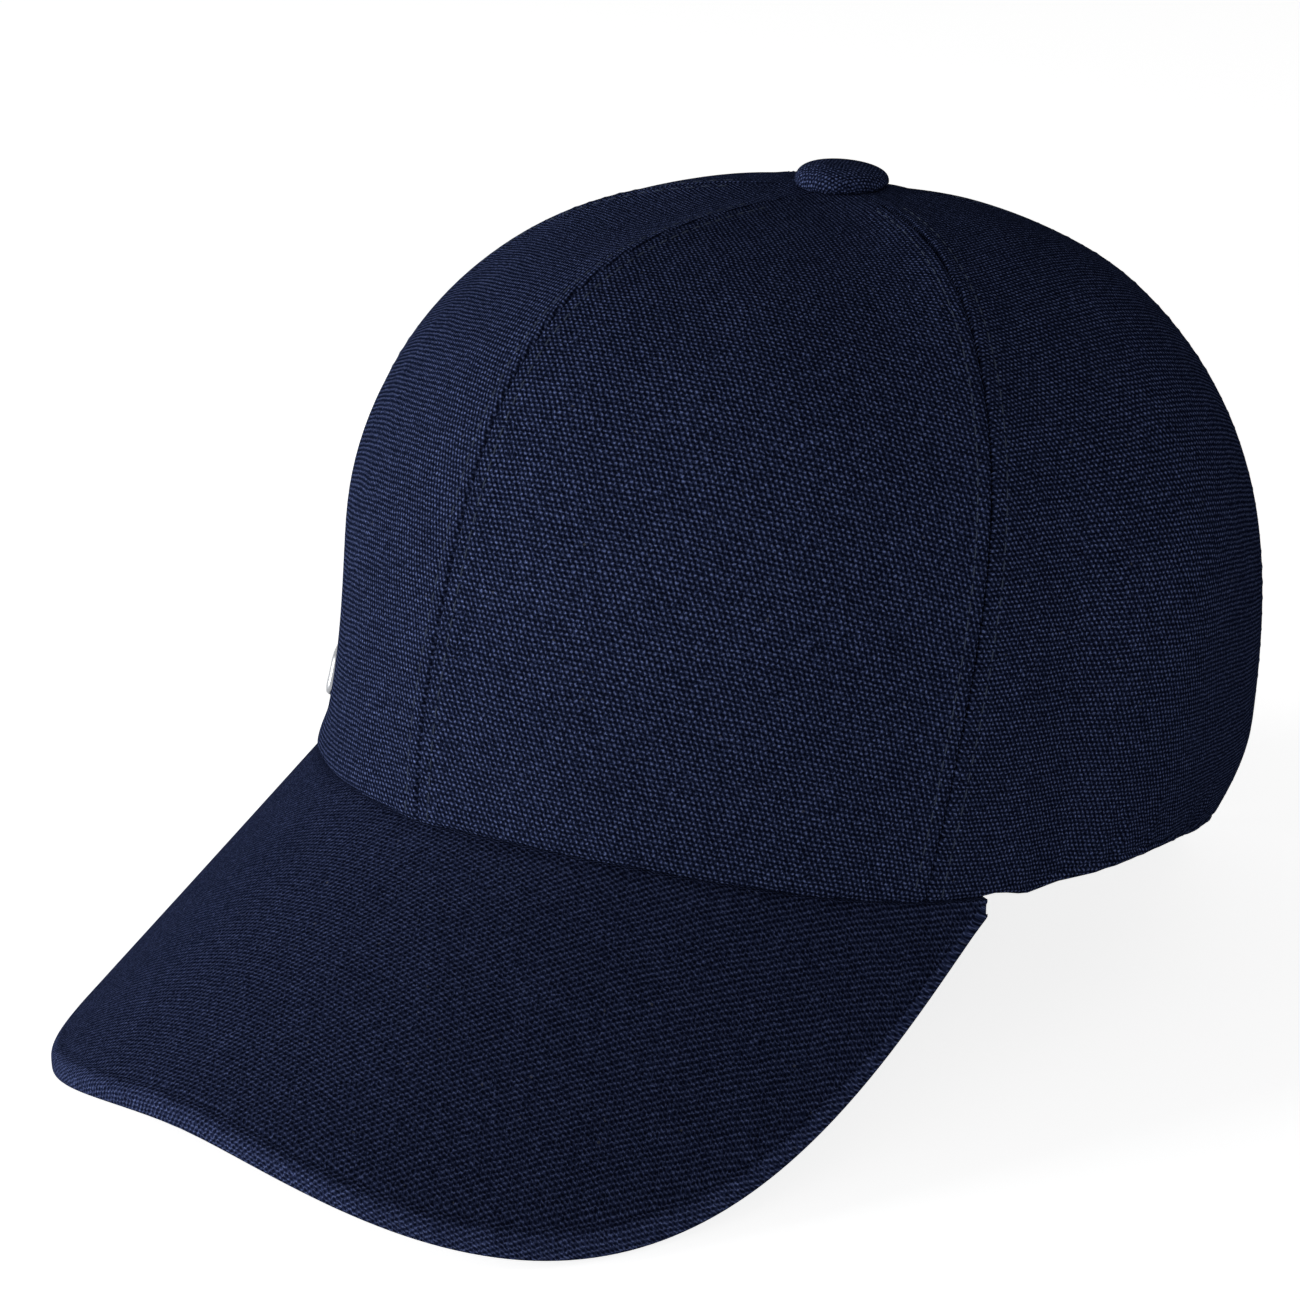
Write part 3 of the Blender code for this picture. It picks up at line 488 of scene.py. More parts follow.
class Recipe:
    """Makes one material, node by node."""

    def __init__(self, name, **finish):
        self.material = bpy.data.materials.new(name)
        self.material.use_nodes = True
        self.tree = self.material.node_tree
        self.shader = self.tree.nodes["Principled BSDF"]
        for socket, value in finish.items():
            self.shader.inputs[socket.replace("_", " ")].default_value = value

    def node(self, kind, links, **settings):
        return add_node(self.tree, kind, links, **settings).outputs

    def cloth_place(self):
        return self.node("Attribute", {}, attribute_name="cloth")["Vector"]

    def object_place(self):
        return self.node("TexCoord", {})["Object"]

    def noise(self, place, scale, detail=2.0, output="Fac"):
        links = {"Vector": place, "Scale": scale, "Detail": detail}
        return self.node("TexNoise", links)[output]

    def maths(self, operation, first, second=0.0, third=0.0):
        links = {0: first, 1: second, 2: third}
        return self.node("Math", links, operation=operation)[0]

    def vector(self, operation, first, second, third=(0.0, 0.0, 0.0)):
        links = {0: first, 1: second, 2: third}
        return self.node("VectorMath", links, operation=operation)[0]

    def scaled(self, colour, factor):
        return self.node("VectorMath", {0: colour, "Scale": factor}, operation="SCALE")[0]

    def spread(self, value, low, high):
        """Maps 0 to 1 onto low to high."""
        return self.maths("MULTIPLY_ADD", value, high - low, low)

    def ramp(self, value, *stops):
        made = add_node(self.tree, "ValToRGB", {0: value})
        elements = made.color_ramp.elements
        while len(elements) < len(stops):
            elements.new(0.5)
        for element, (position, colour) in zip(elements, stops):
            element.position = position
            element.color = (*colour, 1.0)
        return made.outputs[0]

    def bump(self, height, distance, strength=1.0):
        links = {"Height": height, "Distance": distance, "Strength": strength}
        self.link(self.node("Bump", links)[0], "Normal")

    def link(self, value, socket):
        self.tree.links.new(value, self.shader.inputs[socket])


# Canvas: noise scales per metre, how far they bend the threads, and weights of its waves, fibres and lint
SLOW_SCALE = 90.0
FINE_SCALE = 1400.0
GRAIN_SCALE = 2300.0
FIBRE_SCALE = 3100.0
SPECK_SCALE = 700.0
SLOW_BEND = (0.0010, 0.0010, 0.0)
FINE_BEND = (0.0008, 0.0006, 0.0)
ROW_WEIGHT = 1.15
RISING_WEIGHT = 1.30
FALLING_WEIGHT = 0.55
FIBRE_HEIGHT = 0.75
HOLE_LIFT = 0.15
SPECK_LEVEL = 0.78
SPECK_LIGHT = 0.05


def canvas(name, pitch, row, stops, depth, holes=False, solid=False):
    """Plain canvas: staggered rows of slanted beads, or of small dark holes, with uneven fibres and lint. Its
    colour is darker in the low gaps and holes, partly the threads' own colour and partly painted shade, and
    the cloth round the visor's edge is lighter by painted light.
    """
    recipe = Recipe(name, Specular_IOR_Level=0.0)
    place = recipe.cloth_place()
    if solid:
        upright = recipe.node("SeparateXYZ", {0: recipe.object_place()})
        place = recipe.node("CombineXYZ", {0: upright[0], 1: upright[2]})[0]
    slow = recipe.noise(place, SLOW_SCALE, 2.0, "Color")
    fine = recipe.noise(place, FINE_SCALE, 2.0, "Color")
    bent = recipe.vector("MULTIPLY_ADD", slow, SLOW_BEND, place)
    bent = recipe.vector("MULTIPLY_ADD", fine, FINE_BEND, bent)
    split = recipe.node("SeparateXYZ", {0: bent})
    turn = recipe.maths("MULTIPLY", split[0], 2 * math.pi / pitch)
    step = recipe.maths("MULTIPLY", split[1], math.pi / row)
    falling = recipe.maths("COSINE", recipe.maths("ADD", turn, step))
    rising = recipe.maths("COSINE", recipe.maths("SUBTRACT", turn, step))
    rows = recipe.maths("COSINE", recipe.maths("MULTIPLY", step, 2.0))
    beads = recipe.maths("MULTIPLY_ADD", rising, RISING_WEIGHT, recipe.maths("MULTIPLY", rows, ROW_WEIGHT))
    beads = recipe.maths("MULTIPLY_ADD", falling, FALLING_WEIGHT, beads)
    height = recipe.spread(beads, 1 / 3, 1 / 9 if holes else 5 / 9)
    fibre = recipe.noise(place, FIBRE_SCALE, 3.0)
    column = recipe.maths("FLOOR", recipe.maths("MULTIPLY", split[0], 2 / pitch))
    line = recipe.maths("FLOOR", recipe.maths("MULTIPLY", split[1], 1 / row))
    cell = recipe.node("CombineXYZ", {0: column, 1: line})[0]
    chance = recipe.node("TexWhiteNoise", {0: cell}, noise_dimensions="2D")[0]
    rough = recipe.maths("ADD", height, recipe.spread(fibre, -FIBRE_HEIGHT, FIBRE_HEIGHT))
    if holes:
        rough = recipe.maths("ADD", rough, HOLE_LIFT)
    # The colour follows the height: the low gaps and holes get a darker navy, partly the cloth's own colour
    # and partly painted shade between the threads
    colour = recipe.ramp(rough, *stops)
    shade = recipe.maths("MULTIPLY", recipe.spread(chance, 0.75, 1.25), recipe.spread(slow, 0.85, 1.15))
    grain = recipe.noise(place, GRAIN_SCALE, 2.0)
    shade = recipe.maths("MULTIPLY", shade, recipe.spread(grain, 0.3, 1.7))
    # Painted light: the cloth tagged as the visor's edge is made lighter, a painted highlight on the edge
    # that faces forward
    edge = recipe.maths("MULTIPLY_ADD", split[2], EDGE_PAINTED_LIGHT / EDGE_LIGHT_TAG, 1.0)
    colour = recipe.scaled(colour, recipe.maths("MULTIPLY", shade, edge))
    speck = recipe.noise(place, SPECK_SCALE, 1.0)
    lint = recipe.maths("MULTIPLY", recipe.maths("GREATER_THAN", speck, SPECK_LEVEL), SPECK_LIGHT)
    colour = recipe.vector("ADD", colour, recipe.node("CombineXYZ", {0: lint, 1: lint, 2: lint})[0])
    recipe.link(colour, "Base Color")
    recipe.link(recipe.spread(fibre, 0.86, 1.0), "Roughness")
    recipe.bump(rough, depth)
    return recipe.material


def twill(name, pitch, dark, light, depth):
    """Slanted ribs of fine twill."""
    recipe = Recipe(name, Specular_IOR_Level=0.25)
    place = recipe.cloth_place()
    fine = recipe.noise(place, 700.0, 2.0, "Color")
    bent = recipe.vector("MULTIPLY_ADD", fine, (0.0004, 0.0004, 0.0), place)
    split = recipe.node("SeparateXYZ", {0: bent})
    slant = recipe.maths("MULTIPLY_ADD", split[0], 0.8, split[1])
    rib = recipe.maths("SINE", recipe.maths("MULTIPLY", slant, 2 * math.pi / pitch))
    thread = recipe.maths("SINE", recipe.maths("MULTIPLY", split[0], 2 * math.pi / pitch * 1.7))
    height = recipe.spread(recipe.maths("MULTIPLY_ADD", thread, 0.25, rib), 0.5, 0.9)
    fibre = recipe.noise(place, 4200.0, 3.0)
    rough = recipe.maths("ADD", height, recipe.spread(fibre, -0.15, 0.15))
    colour = recipe.ramp(rough, (0.15, dark), (0.9, light))
    cloud = recipe.noise(place, 45.0)
    recipe.link(recipe.scaled(colour, recipe.spread(cloud, 0.8, 1.2)), "Base Color")
    recipe.link(recipe.spread(fibre, 0.7, 0.92), "Roughness")
    recipe.bump(rough, depth)
    return recipe.material


def net(name):
    """Stiff open net: two sets of threads with darker holes."""
    recipe = Recipe(name, Roughness=0.85)
    place = recipe.cloth_place()
    fine = recipe.noise(place, 500.0, 1.0, "Color")
    bent = recipe.vector("MULTIPLY_ADD", fine, (0.0004, 0.0004, 0.0), place)
    split = recipe.node("SeparateXYZ", {0: bent})
    waves = [recipe.maths("SINE", recipe.maths("MULTIPLY", split[i], 2 * math.pi / 0.0013)) for i in (0, 1)]
    height = recipe.spread(recipe.maths("MAXIMUM", *waves), 0.5, 1.0)
    colour = recipe.ramp(height, (0.35, (0.16, 0.15, 0.14)), (0.8, (0.58, 0.56, 0.51)))
    cloud = recipe.noise(place, 60.0)
    recipe.link(recipe.scaled(colour, recipe.spread(cloud, 0.85, 1.12)), "Base Color")
    recipe.bump(height, 0.0003)
    return recipe.material


def metal(name, colour, roughness, grain):
    """Bare metal with fine brush marks and a few soft smudges."""
    recipe = Recipe(name, Metallic=1.0)
    place = recipe.object_place()
    brushed = recipe.vector("MULTIPLY", place, grain)
    mark = recipe.noise(brushed, 1.0, 3.0)
    smudge = recipe.noise(place, 260.0, 3.0)
    tone = recipe.maths("MULTIPLY", recipe.spread(mark, 0.92, 1.06), recipe.spread(smudge, 0.9, 1.06))
    recipe.link(recipe.scaled(colour, tone), "Base Color")
    low, high = roughness
    recipe.link(recipe.spread(recipe.maths("MULTIPLY", mark, smudge), low, 4 * high - 3 * low), "Roughness")
    recipe.bump(mark, 0.00002, 0.4)
    return recipe.material


def plain(name, colour, roughness, scale, depth):
    """A matt surface with a fine uneven grain, for felt, thread and board."""
    recipe = Recipe(name, Specular_IOR_Level=0.05)
    place = recipe.object_place()
    grain = recipe.noise(place, scale, 4.0)
    dark = tuple(0.7 * part for part in colour)
    light = tuple(1.25 * part for part in colour)
    tint = recipe.ramp(grain, (0.25, dark), (0.75, light))
    recipe.link(tint, "Base Color")
    recipe.link(recipe.spread(grain, roughness - 0.1, min(roughness + 0.1, 1.0)), "Roughness")
    recipe.bump(grain, depth)
    return recipe.material


# Navy of the crown's weave from its gaps to its bead tops; the darkest gap colour is partly the cloth's own
# and partly painted shade
SHADED_GAP_NAVY = (0.0050, 0.0073, 0.0198)
BODY_NAVY = (0.0225, 0.0318, 0.0795)
FULL_NAVY = (0.0285, 0.0398, 0.0980)
BEAD_NAVY = (0.1500, 0.1960, 0.4250)
BEADED = ((0.08, SHADED_GAP_NAVY), (0.33, BODY_NAVY), (0.60, FULL_NAVY), (0.95, BEAD_NAVY))
# Navy of the visor's weave from its holes to its bead tops; the darkest hole colour is partly the cloth's own
# and partly painted shade
VISOR_SHADED_GAP = (0.0048, 0.0068, 0.0185)
VISOR_BODY = (0.0134, 0.0188, 0.0490)
VISOR_FULL = (0.0153, 0.0212, 0.0550)
VISOR_BEAD = (0.0730, 0.0950, 0.2080)
HOLED = ((0.06, VISOR_SHADED_GAP), (0.31, VISOR_BODY), (0.64, VISOR_FULL), (0.96, VISOR_BEAD))
CROWN_CLOTH = canvas("crown cloth", 0.97 * MM, 0.886 * MM, BEADED, 0.36 * MM)
VISOR_CLOTH = canvas("visor cloth", 1.02 * MM, 0.83 * MM, HOLED, 0.26 * MM, holes=True)
STRAP_CLOTH = canvas("strap cloth", 0.97 * MM, 0.886 * MM, BEADED, 0.30 * MM)
BUTTON_CLOTH = canvas("button cloth", 0.80 * MM, 0.73 * MM, BEADED, 0.22 * MM)
ANCHOR_CLOTH = canvas("anchor cloth", 0.97 * MM, 0.886 * MM, BEADED, 0.30 * MM, solid=True)
TAPE_CLOTH = twill("tape cloth", 0.9 * MM, (0.004, 0.006, 0.014), (0.022, 0.030, 0.062), 0.15 * MM)
BAND_CLOTH = twill("band cloth", 0.7 * MM, (0.005, 0.007, 0.016), (0.024, 0.032, 0.066), 0.12 * MM)
NET_CLOTH = net("buckram net")
THREAD = plain("sewing thread", (0.056, 0.073, 0.120), 0.8, 9000.0, 0.03 * MM)
DARK_THREAD = plain("dark thread", (0.022, 0.030, 0.060), 0.75, 9000.0, 0.03 * MM)
FELT = plain("badge felt", (0.010, 0.012, 0.020), 0.95, 3000.0, 0.1 * MM)
BOARD = plain("visor board", (0.55, 0.55, 0.53), 0.5, 400.0, 0.02 * MM)
POLISHED = metal("polished plate", (0.36, 0.37, 0.39), (0.12, 0.25), (300.0, 2500.0, 300.0))
BUCKLE_METAL = metal("buckle metal", (0.60, 0.585, 0.56), (0.22, 0.42), (400.0, 3200.0, 400.0))
STEEL = metal("button steel", (0.52, 0.53, 0.55), (0.3, 0.5), (500.0, 500.0, 2500.0))


def make_object(name, points, faces, material, cloth=None):
    """A smooth mesh in the row frame, with its flat cloth position kept on each point."""
    mesh = bpy.data.meshes.new(name)
    mesh.from_pydata((np.reshape(points, (-1, 3)) + PLACE).tolist(), [], faces)
    if cloth is not None:
        store = mesh.attributes.new("cloth", "FLOAT_VECTOR", "POINT")
        store.data.foreach_set("vector", np.ascontiguousarray(cloth, dtype=np.float32).ravel())
    mesh.shade_smooth()
    mesh.set_sharp_from_angle(angle=math.radians(55))
    mesh.materials.append(material)
    made = add_object(name, mesh)
    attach(made, "cap")
    return made


def stand_in(name, points, faces, material, node, slot, cloth=None):
    """A mesh that is shown instead of a node's solid."""
    made = make_object(name, points, faces, material, cloth)
    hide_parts(node)
    return made


def grid_faces(columns, rows, start, flip):
    index = start + np.arange(columns * rows).reshape(columns, rows)
    corners = [index[:-1, :-1], index[1:, :-1], index[1:, 1:], index[:-1, 1:]]
    if flip:
        corners.reverse()
    return np.stack(corners, -1).reshape(-1, 4).tolist()


def shell(name, outer, inner, cloth, material, node, slot):
    """A closed sheet between two grids of points, standing for a node."""
    columns, rows = outer.shape[:2]
    count = columns * rows
    across = np.cross(outer[1, 0] - outer[0, 0], outer[0, 1] - outer[0, 0])
    flip = float(across @ (outer[0, 0] - inner[0, 0])) < 0
    faces = grid_faces(columns, rows, 0, flip) + grid_faces(columns, rows, count, not flip)
    index = np.arange(count).reshape(columns, rows)
    border = np.concatenate([index[:, 0], index[-1, 1:], index[-2::-1, -1], index[0, -2:0:-1]])
    after = np.roll(border, -1)
    walls = np.stack([border, border + count, after + count, after], -1)
    if flip:
        walls = walls[:, ::-1]
    faces += walls.tolist()
    points = np.concatenate([outer.reshape(-1, 3), inner.reshape(-1, 3)])
    flat = np.concatenate([cloth.reshape(-1, 3), cloth.reshape(-1, 3)])
    made = stand_in(name, points, faces, material, node, slot, flat)


def line_at(outer, inner, distance):
    """Points and outward ways along a grid's rows, at a distance from its first or, below 0, last column."""
    run = run_along(outer, 0)
    points, ways = [], []
    for row in range(outer.shape[1]):
        wanted = distance if distance > 0 else run[-1, row] + distance
        found = np.interp(wanted, run[:, row], np.arange(outer.shape[0]))
        low = min(int(found), outer.shape[0] - 2)
        part = found - low
        point = outer[low, row] * (1 - part) + outer[low + 1, row] * part
        under = inner[low, row] * (1 - part) + inner[low + 1, row] * part
        points.append(point)
        ways.append((point - under) / np.linalg.norm(point - under))
    return np.array(points), np.array(ways)


def closed_rings(grid, foot, tip):
    """Points and faces of a solid through rings of points, closed at a foot and a tip."""
    count, rows = grid.shape[:2]
    points = np.concatenate([grid.reshape(-1, 3), [tip], [foot]])
    faces = []
    for i in range(count):
        here = i * rows
        after = (i + 1) % count * rows
        for k in range(rows - 1):
            faces.append((here + k, after + k, after + k + 1, here + k + 1))
        faces.append((here + rows - 1, after + rows - 1, count * rows))
        faces.append((after, here, count * rows + 1))
    return points, faces


def stitch_row(points, ways):
    """Separate stitches along a line: each a short bent thread that dips into the cloth at both ends."""
    run = run_along(points[:, None], 0)[:, 0]
    stations = np.array([0.0, 0.14, 0.5, 0.86, 1.0]) * STITCH_LENGTH
    lifts = np.array([-1.4, -0.2, 0.55, -0.2, -1.4])[:, None] * STITCH_RADIUS
    widths = np.array([0.85, 1.0, 0.85])[:, None] * STITCH_RADIUS
    turns = (np.arange(6) * math.pi / 3)[:, None, None]
    stitches = []
    for start in np.arange(0.4 * STITCH_PITCH, run[-1] - STITCH_LENGTH, STITCH_PITCH):
        at = start + stations
        middle = np.stack([np.interp(at, run, points[:, k]) for k in range(3)], -1)
        way = np.stack([np.interp(at, run, ways[:, k]) for k in range(3)], -1)
        along = middle[-1] - middle[0]
        across = np.cross(along / np.linalg.norm(along), way)
        middle = middle + way * lifts
        side = np.sin(turns) * way[1:4] + np.cos(turns) * across[1:4]
        stitches.append(closed_rings(middle[1:4] + side * widths, middle[0], middle[4]))
    return stitches


def stitch_rows(outer, inner, *distances):
    """Rows of stitches on the outer of two grids, at distances from its first or last column."""
    rows = []
    for distance in distances:
        rows += stitch_row(*line_at(outer, inner, distance))
    return rows


def swapped(*grids):
    """Grids with rows for columns."""
    return [grid.swapaxes(0, 1) for grid in grids]


def stitching(name, stitches, material):
    """One piece from all the stitches of some rows."""
    points, faces = [], []
    for stitch_points, stitch_faces in stitches:
        faces += [tuple(len(points) + k for k in face) for face in stitch_faces]
        points += stitch_points.tolist()
    make_object(name, np.array(points), faces, material)


def panel_shares():
    rows = np.linspace(0.0, 0.9, 66)
    low = np.linspace(0.9, 0.965, 12)[1:]
    hem = np.linspace(0.965, 1.0, 18)[1:]
    return np.concatenate([rows, low, hem])


def panel_parts(width, middle_parts):
    """Columns of a panel as shares of its width: close at both seams, then as given between them."""
    zone = np.minimum(SEAM_ZONE, 0.36 * width) / width
    near = zone * np.array(SEAM_STEPS)[:, None]
    middle = zone + (1 - 2 * zone) * np.asarray(middle_parts)[1:-1, None]
    return np.concatenate([near, middle, 1 - near[::-1]])


def edge_distance(points, edge):
    """Distance of each point from the nearest point of an edge."""
    gaps = [np.linalg.norm(points - point, axis=-1) for point in edge]
    return np.min(gaps, axis=0)


def side_fold(angle, rise):
    """A soft upright fold behind each side seam, a fuller band behind it and a weaker fold behind that."""
    turn = np.degrees(turn_from_front(angle))
    fade = 1 - smooth_step((rise - FOLD_FADE_RISE) / FOLD_FADE_HEIGHT)
    centre = FOLD_ANGLE - FOLD_LEAN * np.clip(rise / FOLD_LEAN_HEIGHT, 0, 1)
    valley = -FOLD_DEPTH * hump(turn, centre, FOLD_REACH)
    swell = SWELL_RISE * hump(turn, centre + SWELL_BEHIND, SWELL_REACH)
    low = 1 - smooth_step((rise - SECOND_FADE_RISE) / SECOND_FADE_HEIGHT)
    second = -SECOND_DEPTH * hump(turn, centre + SECOND_BEHIND, SWELL_REACH) * low
    return (valley + swell) * fade + second


def hem_pucker(angle, rise):
    """Small dents along the sewn rim behind the visor."""
    turn = np.degrees(turn_from_front(angle))
    wave = np.sin(turn * 0.83 + 0.6) * np.sin(turn * 0.37 + 1.9) + 0.5 * np.sin(turn * 1.9 + 0.4)
    span = smooth_step((turn - PUCKER_FROM) / 8.0) * (1 - smooth_step((turn - PUCKER_TO) / 10.0))
    return PUCKER * wave * hump(rise, PUCKER_RISE, PUCKER_HEIGHT) * span


def panel_form(angle, points, first_gap, last_gap, width, first_bow, last_bow):
    """Soft shape of a panel: it stands out along its seams, lies flatter between them and waves a little."""
    reach = BOW_REACH * width
    rise = points[..., 2] - rim_height(angle)
    form = first_bow * np.clip(1 - first_gap / reach, 0, 1) ** 2
    form = form + last_bow * np.clip(1 - last_gap / reach, 0, 1) ** 2 - panel_sink(angle, rise)
    form = form * smooth_step((width - 0.006) / 0.05) * smooth_step(rise / 0.02)
    calm = smooth_step(np.minimum(first_gap, last_gap) / 0.016)
    x, y, z = np.moveaxis(points, -1, 0)
    wave = np.sin(x / 0.0091 + z / 0.0173 + 1.0) * np.sin(y / 0.0113 - z / 0.0241)
    return form + PANEL_WAVE * wave * calm + side_fold(angle, rise) + hem_pucker(angle, rise)


def panel_sink(angle, rise):
    """The cloth lies a little lower high up."""
    front = hump(turn_from_front(angle), SINK_FRONT_ANGLE, SINK_FRONT_REACH)
    high = front * hump(rise, SINK_FRONT_RISE, SINK_FRONT_HEIGHT)
    top = (1 - front) * smooth_step((rise - SINK_TOP_RISE) / SINK_TOP_HEIGHT)
    return PANEL_SINK * (high + top)


def seam_relief(gap, length, width):
    """Cross section of a seam: a groove, a raised seam allowance and a dimple under the stitches."""
    groove = -SEAM_GROOVE * hump(gap, 0.0, SEAM_GROOVE_REACH)
    ridge = SEAM_RIDGE * (1 - smooth_step((gap - SEAM_RIDGE_WIDTH) / SEAM_RIDGE_FADE))
    pull = 1.5 + 0.5 * np.cos(2 * math.pi * length / STITCH_PITCH)
    dimple = -STITCH_DIMPLE * pull * hump(gap, STITCH_OFFSET, STITCH_DIMPLE_REACH)
    return (groove + ridge + dimple) * smooth_step((width - 0.005) / 0.02)


def hem_relief(gap, angle, at_arch):
    """The rim is rolled under. Behind the visor a sewn crease runs along it."""
    roll = -HEM_ROLL * hump(gap, 0.0, HEM_ROLL_REACH)
    behind = smooth_step((turn_from_front(angle) - VISOR_HALF_ANGLE) / math.radians(6))
    offset = np.where(at_arch, ARCH_STITCH_OFFSET, HEM_CREASE_OFFSET)
    return roll - HEM_CREASE * hump(gap, offset, HEM_CREASE_REACH) * behind


def keep_angles(points):
    """Flat places for a grid of points: the map that keeps angles best, upright along its middle column."""
    columns, rows = points.shape[:2]
    index = np.arange(columns * rows).reshape(columns, rows)
    near, beside = index[:-1, :-1].ravel(), index[1:, :-1].ravel()
    across, below = index[1:, 1:].ravel(), index[:-1, 1:].ravel()
    triangles = np.concatenate([np.stack([near, beside, across], -1), np.stack([near, across, below], -1)])
    first, second, third = (points.reshape(-1, 3)[triangles[:, k]] for k in range(3))
    base = np.linalg.norm(second - first, axis=-1)
    way = (second - first) / base[:, None]
    along = ((third - first) * way).sum(-1)
    aside = np.linalg.norm(third - first - along[:, None] * way, axis=-1)
    corners = [np.zeros_like(base), base, along + 1j * aside]
    size = np.sqrt(base * aside)
    rule = np.zeros((len(triangles), columns * rows), dtype=complex)
    each = np.arange(len(triangles))
    for k in range(3):
        rule[each, triangles[:, k]] = (corners[(k + 2) % 3] - corners[(k + 1) % 3]) / size
    middle = columns // 2
    held = index[middle, [0, -1]]
    values = np.array([0.0, 1j * run_along(points, 1)[middle, -1]])
    free = np.setdiff1d(index.ravel(), held)
    flat = np.zeros(columns * rows, dtype=complex)
    flat[held] = values
    part = rule[:, free]
    flat[free] = np.linalg.solve(part.conj().T @ part, -part.conj().T @ (rule[:, held] @ values))
    flat = flat.reshape(columns, rows)
    stretch = np.abs(np.diff(flat, axis=1)) / np.linalg.norm(np.diff(points, axis=1), axis=-1)
    return flat / np.median(stretch[columns // 4:-columns // 4, rows // 2:])


def panel_cloth(first_seam, last_seam, side, parts, share):
    """Flat places of a panel's points, from shares of its width and of its height."""
    coarse_share = np.linspace(0.0, 1.0, 25)
    coarse_part = np.linspace(0.0, 1.0, 17)
    first = first_seam(coarse_share, side)
    angle = side * (first + (last_seam(coarse_share, side) - first) * coarse_part[:, None])
    flat = keep_angles(crown_surface(angle, polar_at_share(angle, coarse_share)))
    fine = np.stack([np.interp(share, coarse_share, line) for line in flat])
    placed = np.stack([np.interp(parts[:, k], coarse_part, fine[:, k]) for k in range(len(share))], 1)
    return np.stack([side * placed.real, placed.imag, np.zeros(placed.shape)], -1)


def crown_panel(name, side, first_seam, last_seam, bows, middle_parts):
    """One panel between two seams, on the wearer's left (1) or right (-1), with its two rows of stitches."""
    share = panel_shares()[None, :]
    first, last = between_seams(first_seam, last_seam, side, share, SEAM_GAP / 2)
    even = first + (last - first) * np.linspace(0, 1, 25)[:, None]
    width = run_along(crown_surface(even, polar_at_share(even, share)), 0)[-1]
    parts = panel_parts(width, middle_parts)
    angle = first + (last - first) * parts
    polar = polar_at_share(angle, share)
    surface = crown_point(angle, polar, 0.0)
    first_gap = run_along(surface, 0)
    last_gap = first_gap[-1] - first_gap
    length = run_along(surface, 1)
    at_arch = math.pi - turn_from_front(angle) < 1.05 * ARCH_HALF_ANGLE
    form = panel_form(angle, surface, first_gap, last_gap, width, *bows)
    detail = seam_relief(first_gap, length, width) + seam_relief(last_gap, length, width)
    detail = detail + hem_relief(edge_distance(surface, surface[:, -1]), angle, at_arch)
    outer = crown_point(angle, polar, -(form + detail))
    inner = crown_point(angle, polar, PANEL_THICKNESS - form)
    cloth = panel_cloth(first_seam, last_seam, side, parts, share[0])
    shell(name + "_cloth", outer, inner, cloth, CROWN_CLOTH, name, "crown_canvas")
    low = slice(SEAM_STITCH_ROW, None)
    rows = stitch_rows(outer[:, low], inner[:, low], STITCH_OFFSET, -STITCH_OFFSET)
    return rows, outer, inner


def arch_parts():
    """Columns of a back panel: even up to the rear opening, then closer where its edge is steep."""
    span = math.pi - REAR_SEAM_ANGLE
    start = 1.0 - ARCH_HALF_ANGLE / span
    plain_part = np.linspace(0.0, start, 30)
    turns = np.linspace(0.0, HALF_TURN, 42)[1:]
    return np.append(plain_part, 1.0 - (1.0 - start) * np.cos(turns))


def crown():
    """The six panels, with stitches along their seams and round the rear opening."""
    rows, arch_rows = [], []
    even = np.linspace(0.0, 1.0, 36)
    kinds = (
        ("front", front_seam, side_seam, (FRONT_BOW, SIDE_BOW), even),
        ("side", side_seam, rear_seam, (SIDE_BOW, BACK_BOW), even),
        ("back", rear_seam, back_seam, (BACK_BOW, BACK_BOW), arch_parts()),
    )
    for side, word in ((1, "left"), (-1, "right")):
        for kind, *layout in kinds:
            panel_rows, outer, inner = crown_panel(f"{kind}_panel_{word}", side, *layout)
            rows += panel_rows
        arch = [grid[ARCH_STITCH_COLUMN:] for grid in (outer, inner)]
        arch_rows += stitch_rows(*swapped(*arch), -ARCH_STITCH_OFFSET)
    stitching("crown_stitching", rows, THREAD)
    stitching("arch_stitching", arch_rows, THREAD)


def visor_lines(share):
    angle = share * VISOR_HALF_ANGLE
    root = np.stack(rim_outline(angle), -1)
    edge = np.stack(visor_edge(share), -1)
    width = np.linalg.norm(edge - root, axis=-1)
    way = (edge - root) / width[:, None]
    tuck = crown_point(angle, np.full_like(angle, HALF_TURN), np.full_like(angle, SWEATBAND_DEPTH - FIT_GAP))
    return root, way, width, tuck[:, :2]


